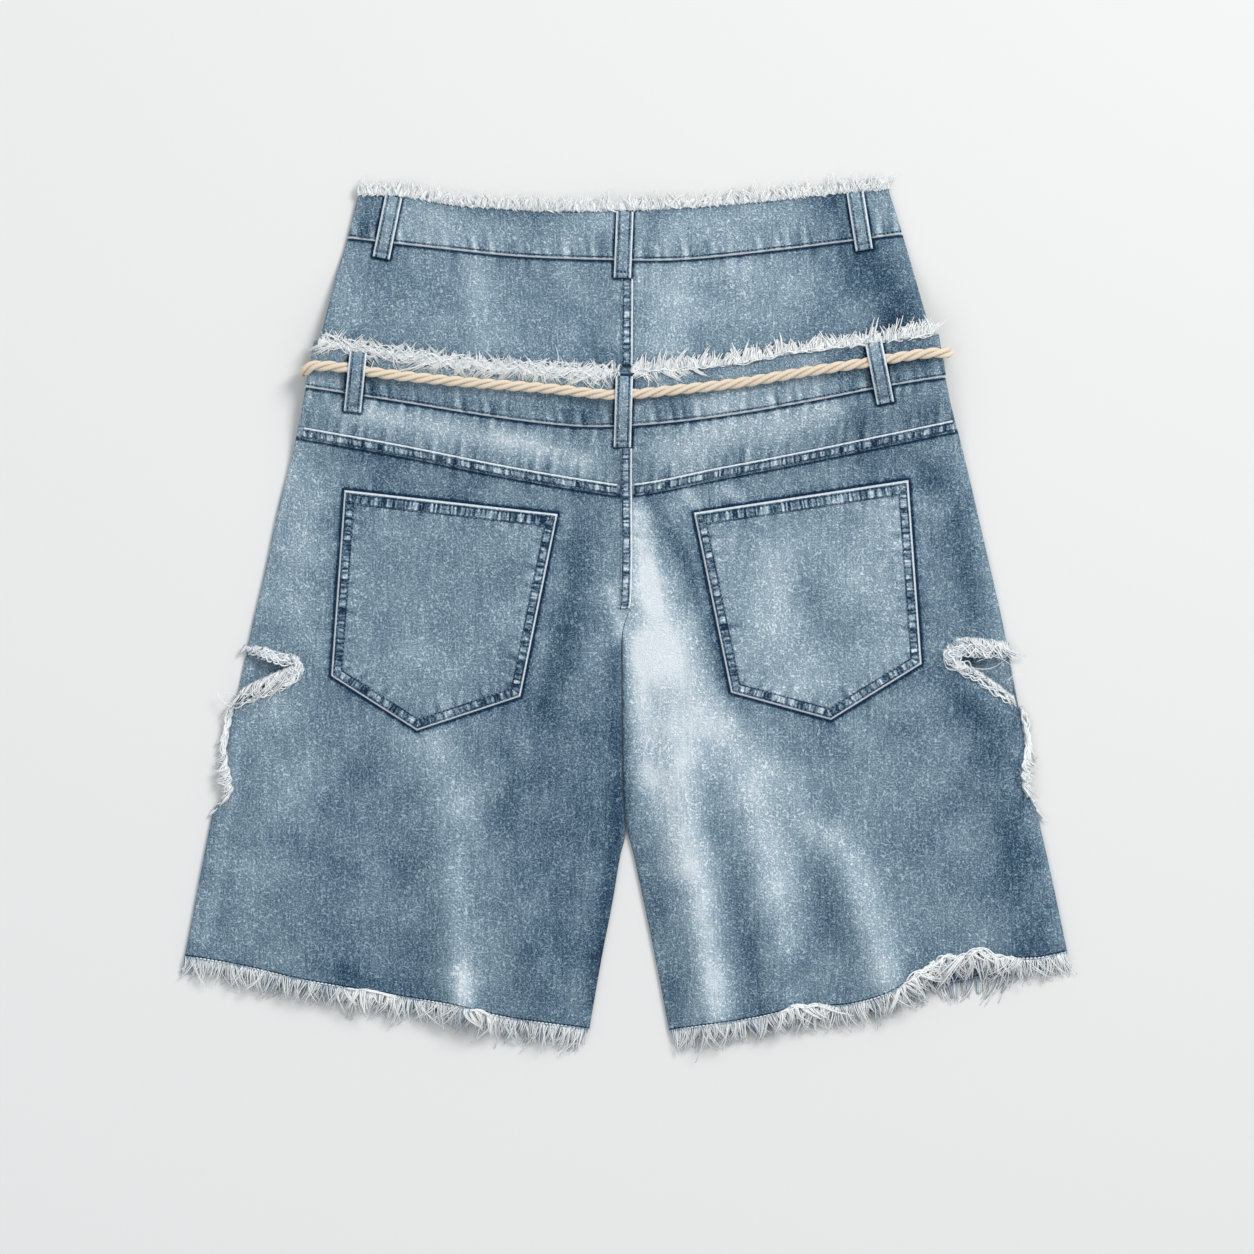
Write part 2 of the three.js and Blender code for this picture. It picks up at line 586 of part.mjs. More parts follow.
// The rope belt: three strands twisted round a closed route through the loops, its ends butted at the front
function ropeRoute() {
  const height = (x) => lowerBandBack(x, ropeLine(x)) + LAID + ROPE_RADIUS;
  const route = [];
  const turn = (side) => {
    const sign = Math.sign(side);
    return [-72, -36, 0, 36, 72].map((degrees) => {
      const angle = degrees * Math.PI / 180;
      const y = ropeLine(side) - (sign < 0 ? ROPE_LEFT_SAG * Math.cos(angle) : 0);
      const radius = (height(side) - FRONT_ROPE_Z) / 2;
      const x = side + sign * (radius + ROPE_SIDE_AIR) * Math.cos(angle);
      return new THREE.Vector3(x, y, (height(side) + FRONT_ROPE_Z) / 2 + radius * Math.sin(angle));
    });
  };
  const rightFold = lowerRight(ropeLine(240)) - 5;
  const leftFold = lowerLeft(ropeLine(-240)) + 5;
  for (const x of [0.4, 60, 120, 180, 222]) route.push(new THREE.Vector3(x, ropeLine(x), FRONT_ROPE_Z));
  route.push(...turn(rightFold));
  for (const x of [222, 182, 130, 85, 40, -9, -58, -133, -180, -222]) {
    route.push(new THREE.Vector3(x, ropeLine(x), height(x)));
  }
  route.push(...turn(leftFold).reverse());
  for (const x of [-222, -180, -120, -60, -0.4]) route.push(new THREE.Vector3(x, ropeLine(x), FRONT_ROPE_Z));
  return new THREE.CatmullRomCurve3(route, false, 'centripetal');
}

function rope() {
  const route = ropeRoute();
  const steps = Math.round(route.getLength() / (ROPE_TWIST_PITCH / 6));
  const frames = route.computeFrenetFrames(steps, false);
  const points = [];
  const faces = [];
  const sides = 6;
  for (let i = 0; i <= steps; i += 1) {
    const at = route.getPointAt(i / steps);
    for (let k = 0; k < sides; k += 1) {
      const angle = (k + i) * Math.PI / 3;
      const radius = k % 2 === 0 ? ROPE_RADIUS : ROPE_RADIUS - ROPE_GROOVE;
      points.push(at.clone()
        .addScaledVector(frames.normals[i], radius * Math.cos(angle))
        .addScaledVector(frames.binormals[i], radius * Math.sin(angle)));
    }
  }
  for (let i = 0; i < steps; i += 1) {
    for (let k = 0; k < sides; k += 1) {
      const a = i * sides + k;
      const b = i * sides + (k + 1) % sides;
      faces.push([a, b, b + sides], [a, b + sides, a + sides]);
    }
  }
  for (let k = 1; k < sides - 1; k += 1) {
    faces.push([0, k + 1, k], [steps * sides, steps * sides + k, steps * sides + k + 1]);
  }
  return solid(points, faces);
}

// A belt loop that lies on the cloth at both ends and rises between them
function beltLoop({ top, bottom }, under, rise) {
  const length = Math.hypot(bottom[0] - top[0], bottom[1] - top[1]);
  const across = [(top[1] - bottom[1]) / length, (bottom[0] - top[0]) / length];
  return laidStrip({
    middle: (t) => [mix(top[0], bottom[0], t), mix(top[1], bottom[1], t), ...across],
    half: LOOP_WIDTH / 2, steps: 11, face: (x, y) => under(x, y) + rise(x, y), gap: SEAM, wall: LOOP_WALL,
  });
}

function upperLoop(row) {
  const under = (x, y) => upperBack(x, y) + BAND_PROUD * (1 - smooth((upperBandSeam(x) - 1 - y) / 7));
  const half = (row.top[1] - row.bottom[1]) / 2;
  const rise = (x, y) => LOOP_SLACK * hill((y - row.bottom[1] - half) / half);
  return beltLoop(row, under, rise);
}

function lowerLoop(row) {
  const under = (x, y) => {
    const band = lowerBandBack(x, y);
    return mix(band, Math.min(band, legBack(x, y)), smooth((lowerBandSeam(x) - 1 - y) / 8));
  };
  const rise = (x, y) => {
    const off = y - ropeLine(row.top[0]);
    const reach = off > 0 ? row.top[1] - ropeLine(row.top[0]) : 26;
    return (2 * ROPE_RADIUS + LAID) * hill(off / (reach + 3)) ** 0.75;
  };
  return beltLoop(row, under, rise);
}

// A loop under the hidden front: flat on the floor below the rope, up on the waistband at both ends
function frontLoop(x) {
  const centre = ropeLine(x);
  const floorGap = (y) => hill((y - centre) / FRONT_LOOP_REACH) ** 0.75;
  const face = (px, py) => mix(lowerBandFront(px, py) - SEAM - LOOP_WALL, 0, floorGap(py));
  return laidStrip({
    middle: (t) => [x, mix(centre + FRONT_LOOP_REACH - 4, centre - FRONT_LOOP_REACH, t), 1, 0],
    half: LOOP_WIDTH / 2, steps: 9, face, gap: 0, wall: LOOP_WALL,
  });
}

function button(y, top) {
  const profile = [
    [0, 0], [BUTTON_RADIUS * 0.75, 0], [BUTTON_RADIUS, 1], [BUTTON_RADIUS, 1.8], [BUTTON_RADIUS * 0.5, 2.2],
    [BUTTON_RADIUS * 0.5, BUTTON_HEIGHT], [0, BUTTON_HEIGHT],
  ].map(([radius, height]) => new THREE.Vector2(radius, height));
  const geometry = new THREE.LatheGeometry(profile, 12);
  return geometry.rotateX(Math.PI / 2).translate(BUTTON_X, y, top - BUTTON_HEIGHT);
}

const shorts = new THREE.Group();

function add(name, geometry, finish) {
  const mesh = new THREE.Mesh(geometry, new THREE.MeshStandardMaterial(finish));
  mesh.name = name;
  shorts.add(mesh);
}

function addPanel(name, finish, ...specs) {
  add(name, panel(name, Object.assign({}, ...specs)), finish);
}

function addUpperPart() {
  const band = { top: waistEdge, bottom: upperBandSeam, rows: 2, thickness: WAISTBAND, round: 3.5 };
  const cloth = {
    top: below(upperBandSeam, BUTT_GAP), bottom: below(lowerBandSeam, -UPPER_LAP), rows: 9, thickness: DENIM,
    round: 3,
  };
  const centreLeft = (y) => middleLine(y) - SEAM / 2;
  const centreRight = (y) => middleLine(y) + SEAM / 2;
  const halves = {
    left: { left: upperLeft, right: centreLeft, turnLeft: folded, turnRight: straight },
    right: { left: centreRight, right: upperRight, turnLeft: straight, turnRight: folded },
  };
  addPanel('upper_waistband_back', CLOTH, band, {
    facing: 1, columns: 20, face: upperBandBack, left: upperLeft, right: upperRight,
    turnLeft: folded, turnRight: folded,
  });
  for (const [half, sides] of Object.entries(halves)) {
    const bandFront = { facing: -1, columns: 6, face: upperBandFront };
    addPanel(`upper_waistband_front_${half}`, CLOTH, band, bandFront, sides);
    const clothBack = { facing: 1, columns: 8, face: upperBack };
    const clothFront = { facing: -1, columns: 6, face: frontLift };
    addPanel(`upper_panel_back_${half}`, CLOTH_DEEP, cloth, clothBack, sides);
    addPanel(`upper_panel_front_${half}`, CLOTH_DEEP, cloth, clothFront, sides);
  }
  const [, loopEnd] = UPPER_LOOPS[1].bottom;
  addCentreSeam('centre_seam_upper', loopEnd - 1, lowerBandEdge(0) + STRIP_WIDTH + 2, upperBack);
}

// A flat-felled seam: a narrow lap of cloth beside the centre line
function addCentreSeam(name, from, to, face) {
  const middle = (t) => {
    const y = mix(from, to, t);
    return [middleLine(y) - FELLED_SEAM_WIDTH / 2, y, 1, 0];
  };
  const strip = { middle, half: FELLED_SEAM_WIDTH / 2, steps: 10, face, gap: LAID, wall: FELLED_SEAM_WALL };
  add(name, laidStrip(strip), CLOTH);
}

function addLowerWaistband() {
  const band = { top: lowerBandEdge, bottom: lowerBandSeam, rows: 3, thickness: WAISTBAND, round: 5 };
  const front = { facing: -1, columns: 6, face: lowerBandFront };
  addPanel('lower_waistband_back', CLOTH, band, {
    facing: 1, columns: 20, face: lowerBandBack, left: lowerLeft, right: lowerRight,
    turnLeft: folded, turnRight: folded,
  });
  addPanel('lower_waistband_front_left', CLOTH, band, front, {
    left: lowerLeft, right: innerLeft, turnLeft: folded, turnRight: straight,
  });
  addPanel('lower_waistband_front_right', CLOTH, band, front, {
    left: innerRight, right: lowerRight, turnLeft: straight, turnRight: folded,
  });
}

const shellLeft = (y) => lowerLeft(y) + BAND_PROUD;
const shellRight = (y) => lowerRight(y) - BAND_PROUD;

function addYokes() {
  const yoke = {
    top: below(lowerBandSeam, BUTT_GAP), bottom: below(yokeSeam, -SEAM / 2), rows: 3, columns: 9,
    facing: 1, face: legBack, thickness: DENIM, round: 3,
  };
  addPanel('yoke_left', CLOTH, yoke, {
    left: shellLeft, right: innerLeft, turnLeft: folded, turnRight: straight,
  });
  addPanel('yoke_right', CLOTH, yoke, {
    left: innerRight, right: shellRight, turnLeft: straight, turnRight: folded,
  });
  const seamMiddle = (from, to) => (t) => {
    const x = mix(from, to, t);
    const slope = (yokeSeam(x + 1) - yokeSeam(x - 1)) / 2;
    const scale = Math.hypot(1, slope);
    return [x, yokeSeam(x) - FELLED_SEAM_WIDTH / 2, -slope / scale, 1 / scale];
  };
  const felled = { half: FELLED_SEAM_WIDTH / 2, steps: 10, face: legBack, gap: LAID, wall: FELLED_SEAM_WALL };
  const strips = { left: seamMiddle(-243, 1.5 - FELLED_SEAM_WIDTH), right: seamMiddle(6, 245) };
  for (const [half, middle] of Object.entries(strips)) {
    add(`yoke_seam_${half}`, laidStrip({ ...felled, middle }), CLOTH_DEEP);
  }
}

function addLegs() {
  const back = {
    top: below(yokeSeam, SEAM / 2), rows: 17, columns: 14, facing: 1, face: legBack, thickness: DENIM,
    round: 3, crowd: 1.3,
  };
  const front = {
    top: below(lowerBandSeam, BUTT_GAP), rows: 13, columns: 6, facing: -1, face: legFront,
    thickness: DENIM, round: 3, crowd: 1.45,
  };
  const sides = {
    left: { left: shellLeft, right: innerLeft, turnLeft: folded, turnRight: crotchTurn },
    right: { left: innerRight, right: shellRight, turnLeft: crotchTurn, turnRight: folded },
  };
  const hems = { left: [hemLeft, hemLeft], right: [hemRightBack, hemRightFront] };
  for (const rip of RIPS) {
    const [backHem, frontHem] = hems[rip.side];
    const backName = `leg_back_${rip.side}`;
    const frontName = `leg_front_${rip.side}`;
    const backWall = panel(backName, { ...back, ...sides[rip.side], bottom: backHem });
    const frontWall = panel(frontName, { ...front, ...sides[rip.side], bottom: frontHem });
    add(backName, cut(backWall, [ripHole(rip), ripBite(rip)]), CLOTH_DEEP);
    add(frontName, cut(frontWall, [ripBite(rip)]), CLOTH_DEEP);
  }
  const [, loopEnd] = LOWER_LOOPS[1].bottom;
  addCentreSeam('centre_seam_seat', loopEnd - 1, CROTCH_TOP + 6, legBack);
}

function addFringes() {
  const counts = LOCK_COUNTS;
  const overPanel = (x, y) => upperBack(x, y) + LAID + STRIP_WALL;
  const underPanel = (x, y) => frontLift(x, y) - LAID - STRIP_WALL;
  const droop = (x, y) => mix(legBack(x, y) - DENIM / 2, DENIM + PLY_GAP, 0.45);
  const nearFloor = () => STRIP_WALL / 2 + SEAM / 2;
  const overWaist = (x, y) => upperBandBack(x, y) - WAISTBAND / 2;
  const underWaist = (x, y) => upperBandFront(x, y) + WAISTBAND / 2;
  const waist = [
    ['fringe_waist_back', 'upper_waistband_back', -194, 189, counts.waist, 9, overWaist],
    ['fringe_waist_front_left', 'upper_waistband_front_left', -190, -2, counts.frontWaist, 7, underWaist],
    ['fringe_waist_front_right', 'upper_waistband_front_right', 8, 185, counts.frontWaist, 7, underWaist],
    ['fringe_band_back_left', 'lower_waistband_back', -227, 2, counts.band, 10, overPanel],
    ['fringe_band_back_right', 'lower_waistband_back', 4, 226, counts.band, 10, overPanel],
    ['fringe_band_front_left', 'lower_waistband_front_left', -224, -2, counts.frontBand, 7, underPanel],
    ['fringe_band_front_right', 'lower_waistband_front_right', 9, 223, counts.frontBand, 7, underPanel],
  ];
  for (const [name, carrier, from, to, count, length, settle] of waist) {
    add(name, fringe(count, edgeSpine(edgeRows[carrier].top, from, to, 1, length, settle)), FRAY);
  }
  const hems = [
    ['fringe_hem_back_left', 'leg_back_left', -325, -36, counts.hem, 13, droop],
    ['fringe_hem_back_right', 'leg_back_right', 39, 325, counts.hem, 13, droop],
    ['fringe_hem_front_left', 'leg_front_left', -325, -36, counts.frontHem, 10, nearFloor],
    ['fringe_hem_front_right', 'leg_front_right', 39, 325, counts.frontHem, 10, nearFloor],
  ];
  for (const [name, carrier, from, to, count, length, settle] of hems) {
    add(name, fringe(count, edgeSpine(edgeRows[carrier].bottom, from, to, -1, length, settle)), FRAY);
  }
  const backMiddle = (x, y) => legBack(x, y) - DENIM / 2;
  const taper = (t) => mix(9, 5, t);
  for (const { side, sign, upper, lower, bite } of RIPS) {
    const inner = [...lower].reverse().slice(1);
    const fold = [[sign * 295.5, -74], ...bite.slice(0, -1)].map(([x, y]) => [x + sign * SEAM, y]);
    const spines = {
      fringe_rip_upper: [counts.rip, chainSpine(upper, [sign * 0.2, -1], taper, backMiddle, backMiddle)],
      fringe_rip_lower: [counts.rip, chainSpine(inner, [sign * 0.45, 1], taper, backMiddle, backMiddle)],
      fringe_side: [counts.side, chainSpine(fold, [sign, -0.5], () => 7, sideFoldHeight, sideFoldHeight)],
    };
    for (const [name, [count, spine]] of Object.entries(spines)) {
      add(`${name}_${side}`, fringe(count, spine), FRAY);
    }
  }
}

addUpperPart();
addLowerWaistband();
addYokes();
addLegs();
for (const row of POCKETS) add(row.name, pocket(row), CLOTH_DEEP);
for (const row of UPPER_LOOPS) add(row.name, upperLoop(row), CLOTH_DEEP);
for (const row of LOWER_LOOPS) add(row.name, lowerLoop(row), CLOTH_DEEP);
add('belt_loop_front_left', frontLoop(-FRONT_LOOP_X), CLOTH_DEEP);
add('belt_loop_front_right', frontLoop(FRONT_LOOP_X), CLOTH_DEEP);
add('rope_belt', rope(), COTTON_ROPE);
add('waist_button_upper', button(UPPER_BUTTON_Y, BUTTON_HEIGHT), BUTTON_METAL);
add('waist_button_lower', button(
  LOWER_BUTTON_Y, lowerBandFront(BUTTON_X, LOWER_BUTTON_Y) - BUTTON_AIR), BUTTON_METAL);
addFringes();

export default shorts;
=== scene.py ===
"""Denim shorts with a double waistband, frayed edges and a rope belt, laid flat with the back up.

Lengths in the tables are millimetres in the frame of the part: +X to the right of the view, +Y to the waist,
+Z up out of the back. Meshes are written in metres.
"""

import math

import bpy
import numpy as np
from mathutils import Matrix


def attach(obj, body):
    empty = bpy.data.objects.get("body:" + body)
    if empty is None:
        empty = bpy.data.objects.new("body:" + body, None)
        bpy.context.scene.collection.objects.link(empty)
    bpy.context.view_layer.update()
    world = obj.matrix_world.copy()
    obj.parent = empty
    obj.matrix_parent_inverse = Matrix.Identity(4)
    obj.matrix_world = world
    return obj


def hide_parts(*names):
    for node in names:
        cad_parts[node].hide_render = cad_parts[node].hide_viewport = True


bl_info = {
    "name": "Denim shorts",
    "version": (1, 0, 0),
    "blender": (4, 5, 0),
    "location": "View3D > Sidebar > Shorts",
    "description": "Washed denim shorts with frayed edges, patch pockets and a rope belt",
    "category": "Object",
}

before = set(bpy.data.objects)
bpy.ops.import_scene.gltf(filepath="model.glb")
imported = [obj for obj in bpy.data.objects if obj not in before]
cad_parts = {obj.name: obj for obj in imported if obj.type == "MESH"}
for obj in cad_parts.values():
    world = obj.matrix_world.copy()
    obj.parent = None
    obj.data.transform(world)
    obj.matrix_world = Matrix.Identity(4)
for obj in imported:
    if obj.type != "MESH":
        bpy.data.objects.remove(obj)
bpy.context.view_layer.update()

MM = 0.001
DENIM = 1.2
WAISTBAND = 2.2
SEAM = 0.3
LAID = 0.5
SEAM_RISE = 0.35
FELLED_TOP = 1.15
THREAD_RISE = 0.08
BAND_ROW, LEG_ROW, LOOP_ROW, NO_ROW = 2.4, 1.7, 2.6, 90.0
FELLED_ROWS, POCKET_ROWS, POCKET_HEM_ROWS = (2.3, 7.2), (2.1, 7.6), (2.2, 9.75)
PLY_GAP = 1.4
BUTT_GAP = 0.5
ROPE_RADIUS = 4
ROPE_SIDE_AIR = 1.2
FRONT_ROPE_Z = 5.5
FRONT_LIFT = 12.3
LIFT_REACH = 90
EDGE_REACH = 36
FELLED_WIDTH = 9
BUTTON_X, UPPER_BUTTON_Y, LOWER_BUTTON_Y = -9, 285, 150
BUTTON_RADIUS, BUTTON_HEIGHT, BUTTON_AIR = 8.5, 3.2, 0.9

# Metres
FLOOR_REACH, FLOOR_DROP = 6, 0.0003
VIEW_WIDTH, VIEW_MIDDLE_Y, VIEW_HEIGHT = 0.9405, -0.00975, 2.5


def table(columns, rows):
    """A table with named columns, each an array."""
    return dict(zip(columns.split(), np.array(rows, float).T))


UPPER_SIDES = table("y left right", [
    (322, -200, 195), (280, -210, 208), (256, -217.5, 215), (235, -223, 221), (205, -230.5, 229.5),
    (160, -240, 239.5)])
LOWER_SIDES = table("y left right", [
    (212, -233.5, 233.5), (160, -243.5, 243), (123, -251, 252.5), (78, -262.5, 263), (33, -272, 273.5),
    (-12, -282.5, 283.5), (-57, -292, 292), (-102, -302, 300), (-147, -311, 308), (-192, -320, 318),
    (-237, -328.5, 327.5), (-270, -335, 334)])
BETWEEN_LEGS = table("y x gap", [
    (110, 3.8, 0.3), (10, 3.2, 0.3), (-12, -3, 0.4), (-30, -3.9, 0.7), (-143, -2.6, 0.7), (-164, -0.2, 1.6),
    (-181, 0, 10), (-215, 0.8, 23), (-260, 1.1, 41), (-315, 1.6, 61)])
WAIST_EDGE = table("x y", [
    (-205, 315), (-170, 314), (-125, 307), (-50, 303), (25, 304.5), (100, 310), (160, 316.5), (200, 319.5)])
UPPER_BAND_SEAM = table("x y", [
    (-210, 282), (-140, 274), (-80, 268), (-13, 265.5), (40, 265.5), (115, 273), (208, 285)])
LOWER_BAND_EDGE = table("x y", [
    (-235, 205.5), (-170, 194.5), (-95, 186), (-5, 181.5), (47, 184.5), (85, 188), (122, 195.5), (160, 200),
    (233, 210)])
LOWER_BAND_SEAM = table("x y", [
    (-240, 170), (-170, 159), (-95, 147), (-35, 140.5), (10, 141.5), (70, 148), (130, 158), (197, 171),
    (240, 178)])
YOKE_SEAM = table("x y", [
    (-248, 141), (-170, 127), (-95, 112), (-28, 100.5), (3, 97.5), (70, 110), (130, 121.5), (205, 137),
    (248, 146)])
HEM_LEFT = table("x y", [
    (-334, -257), (-290, -264.5), (-245, -275), (-178, -286.5), (-133, -294), (-88, -304), (-29, -312)])
HEM_RIGHT_BACK = table("x y", [
    (32, -313), (70, -308), (100, -303), (130, -296), (165, -294), (197, -285), (223, -268.5), (257, -258),
    (306, -259), (332, -253.5)])
HEM_RIGHT_FRONT = table("x y", [
    (32, -312), (100, -302), (152, -294.5), (197, -286), (227, -279), (272, -271), (306, -262), (332, -254)])
ROPE_LINE = table("x y", [
    (-226, 186.5), (-193, 181.5), (-133, 175), (-58, 169), (-9, 164.5), (40, 168.5), (100, 175.5), (130, 181),
    (182, 189), (220, 195), (240, 196.5)])
LOFT = table("y height", [
    (320, 0.5), (250, 1.4), (195, 0.6), (140, 0.8), (60, 2.6), (-40, 4.2), (-150, 5.2), (-315, 6)])

# Large folds on each part: start x and y, end x and y, half width, height
FOLDS = {
    "left": [
        (-146, -90, -124, -300, 19, 9), (-104, -130, -64, -300, 15, 4), (-272, -90, -240, -280, 27, 5),
    ],
    "right": [
        (22, -30, 66, -308, 17, 7), (84, -95, 118, -300, 16, 6), (132, -130, 202, -288, 18, 8),
        (285, -150, 256, -262, 26, 7),
    ],
    "upper": [
        (-114, 262, -112, 205, 16, 1.2), (34, 262, 30, 205, 20, 1.4),
    ],
}

# Soft creases, listed: start x and y, end x and y, half width, height (a trough is negative)
CREASES = {
    "leg": [
        (-10, -34, -44, -130, 9, -1.5), (-24, -22, -78, -112, 11, 1.1), (-232, -58, -203, -152, 12, -1.2),
        (-264, 66, -250, -14, 10, 0.9), (-300, -188, -306, -266, 11, -1.5),
        (-180, -196, -184, -290, 14, -1.7), (-42, -186, -46, -312, 12, -1.3),
        (-70, -150, -96, -226, 10, -0.9), (12, -36, 30, -156, 8, -1.3), (46, -66, 74, -160, 11, 1.2),
        (60, -112, 92, -262, 11, -1.9), (126, -118, 164, -236, 12, -1.8), (236, -82, 258, -206, 14, -1.8),
        (205, -58, 236, -152, 12, 1.1), (120, -150, 128, -226, 8, 1.0), (26, 80, 20, 14, 8, 0.9),
        (272, 60, 262, -10, 10, 0.9), (300, -150, 312, -238, 10, -1.1), (-160, 122, -70, 96, 10, -0.5),
        (60, 96, 170, 118, 10, -0.5), (-212, 146, -140, 128, 9, 0.5), (118, 134, 206, 148, 9, 0.5),
    ],
    "upper": [
        (-188, 264, -206, 206, 8, -0.9), (-62, 262, -42, 200, 14, 0.6), (62, 264, 76, 206, 10, -0.7),
        (122, 270, 108, 212, 12, 0.7), (184, 274, 202, 220, 9, -0.9), (-146, 266, -130, 210, 9, -0.6),
        (-20, 258, -26, 200, 8, -0.6),
    ],
}

# Washed fades and painted light on each part: tone change, half width, then the points along its middle. Most
# strokes are washed-out fades and darker dye; some are painted shade and painted highlights.
WASH_AND_SHADE = {
    "leg": [
        (0.50, 9, (8, 74), (14, 40), (19, 8)), (0.44, 19, (17, 18), (23, -4), (28, -28)),
        (0.42, 28, (24, -34), (34, -56), (44, -76)), (0.32, 14, (8, -28), (8, -60), (16, -116)),
        (0.38, 13, (43, -112), (42, -140), (46, -170), (56, -222), (67, -298)),
        (0.22, 12, (24, -126), (28, -156), (38, -190)), (0.12, 10, (58, -200), (62, -250), (72, -305)),
        (0.26, 14, (74, -88), (90, -116), (102, -150), (112, -196), (118, -250)),
        (0.12, 10, (46, -48), (58, -70)), (0.14, 48, (60, -110), (104, -150)),
        (0.30, 13, (160, -170), (178, -204), (190, -244), (200, -290)),
        (-0.15, 8, (66, -162), (80, -196), (90, -250), (99, -298)),
        (-0.08, 10, (138, -176), (150, -216), (162, -280)), (0.15, 13, (106, -116), (124, -142), (142, -166)),
        (0.10, 9, (174, -232), (186, -270)), (0.10, 9, (-154, -108), (-138, -148)),
        (-0.07, 8, (-126, -160), (-116, -206)), (-0.12, 9, (20, -206), (28, -250), (38, -300)),
        # Painted highlight along the left leg's outer side fold.
        (0.14, 6, (-288, -80), (-300, -160), (-316, -244)),
        (-0.16, 4.5, (293, -72), (297, -98), (293, -122), (299, -140)),
        (-0.23, 18, (262, -78), (276, -118), (288, -170), (300, -240)),
        (-0.18, 13, (228, 100), (246, 80), (254, 40), (258, 4)),
        # The first stroke here is painted shadow beside the right rip; the second is a washed-out fade.
        (-0.18, 12, (230, -40), (246, -60), (264, -76)), (0.22, 14, (-146, -92), (-130, -116), (-122, -146)),
        (0.20, 11, (-124, -178), (-128, -206), (-126, -252), (-122, -308)),
        (-0.12, 9, (-92, -84), (-86, -150), (-80, -210)), (-0.12, 10, (-212, -62), (-196, -96)),
        (0.26, 8, (-124, -270), (-121, -308)), (0.12, 12, (-182, -58), (-166, -88)),
        (0.10, 14, (-242, -166), (-238, -186)), (-0.10, 18, (-190, -120), (-164, -200), (-160, -270)),
        (-0.14, 30, (-62, -90), (-50, -180), (-56, -270)), (-0.12, 13, (-26, -90), (-28, -170)),
        # Painted shadow along the left leg's inner edge by the crotch, where the right leg lies over it.
        (-0.36, 9, (-6, -30), (-6, -120), (-8, -170), (-16, -230), (-22, -290)),
        (-0.22, 13, (-34, 88), (-38, 20), (-50, -40), (-62, -66)),
        (-0.12, 24, (-236, -176), (-220, -220), (-206, -276)),
        (-0.12, 9, (-236, -262), (-180, -276), (-140, -284)),
        (0.16, 20, (-246, 130), (-250, 60), (-258, -12)), (0.10, 22, (-262, -70), (-254, -104), (-260, -140)),
        (0.26, 5, (-12, 18), (-9, 6), (-5, -12)), (0.26, 9, (-206, 154), (-130, 138), (-30, 114)),
        (0.16, 7, (-96, 134), (-64, 129)), (-0.15, 10, (-206, 122), (-150, 110), (-110, 98)),
        (-0.14, 8, (-186, 102), (-120, 88)), (0.26, 13, (30, 124), (90, 136), (156, 152)),
        # The last two strokes here are painted highlights between the yoke seam and the right pocket.
        (0.12, 8, (60, 142), (110, 150)), (0.32, 5, (44, 92), (54, 80)), (0.26, 5, (74, 94), (86, 84)),
        (-0.16, 15, (170, 146), (232, 150)), (-0.14, 14, (176, 112), (232, 100)),
        # Painted shadow along the right pocket's left edge and under its lower corner.
        (-0.20, 6, (20, 84), (42, 44), (58, 0), (72, -50), (88, -72)),
    ],
    "pocket": [
        (0.20, 22, (112, 40), (112, 14), (126, -50)), (0.14, 18, (160, 44), (166, 24)),
        (0.10, 26, (196, 70), (204, 10), (196, -40)), (-0.10, 12, (136, 26), (142, -10)),
        (0.07, 12, (66, 44), (90, 4)), (0.04, 30, (-180, 60), (-176, 0), (-150, -50)),
        # Darker top corner of the left pocket: its bar tack and painted shadow.
        (-0.22, 8, (-64, 74), (-56, 60)),
    ],
    "upper": [
        (0.16, 13, (-114, 262), (-112, 200)), (0.19, 20, (34, 262), (30, 200)),
        (0.08, 40, (60, 236), (100, 240)), (0.16, 9, (46, 258), (90, 260)),
        (-0.34, 24, (178, 264), (196, 236), (208, 208)), (-0.14, 10, (196, 220), (214, 208)),
        (-0.08, 16, (-180, 256), (-186, 214)), (-0.04, 18, (-70, 240), (-60, 200)),
        (-0.16, 14, (-24, 222), (-24, 200)), (0.08, 20, (-40, 254), (0, 250)),
    ],
    "band": [
        (0.06, 24, (-160, 296), (-130, 292)), (-0.14, 12, (-100, 302), (-70, 298)),
        (0.12, 10, (-22, 296), (6, 296)), (0.06, 30, (40, 286), (110, 292)),
        (-0.22, 12, (-190, 312), (-196, 276)), (-0.16, 7, (18, 300), (16, 268)),
        (-0.28, 16, (150, 316), (158, 296), (166, 270)), (-0.14, 8, (-190, 190), (-194, 168)),
        (-0.22, 12, (-60, 156), (-24, 150)), (-0.24, 12, (14, 166), (36, 154)),
        (0.12, 9, (56, 154), (110, 160)), (-0.16, 10, (-190, 168), (-90, 154)),
        (-0.30, 15, (164, 186), (214, 192)),
    ],
}

POCKETS = {
    "left": [(-212, 93), (-52, 75), (-80, -62), (-157.5, -87.5), (-222, -46.5)],
    "right": [(211, 100.5), (50, 76), (78, -59), (153, -79.5), (221, -37.5)],
}
UPPER_LOOPS = {
    "belt_loop_upper_left": ((-175, 313), (-184.5, 267)),
    "belt_loop_upper_centre": ((-1.5, 302), (-3.5, 252)),
    "belt_loop_upper_right": ((171, 316.5), (178, 273)),
}
LOWER_LOOPS = {
    "belt_loop_lower_left": ((-201.5, 196.5), (-206, 151.5)),
    "belt_loop_lower_centre": ((-2, 178.5), (-3.5, 125)),
    "belt_loop_lower_right": ((185, 203.5), (194, 158)),
}
FRONT_LOOP_X, FRONT_LOOP_REACH = 112, 21
LOOP_WIDTH, LOOP_WALL = 13, 1.2

# Bunches of looped threads that arch over the hems: from x, to x, height over the edge
KNOTS = {"left": [(-214, -170, 1.2), (-122, -100, 1.5)], "right": [(111, 156, 2.6), (203, 297, 4.0)]}

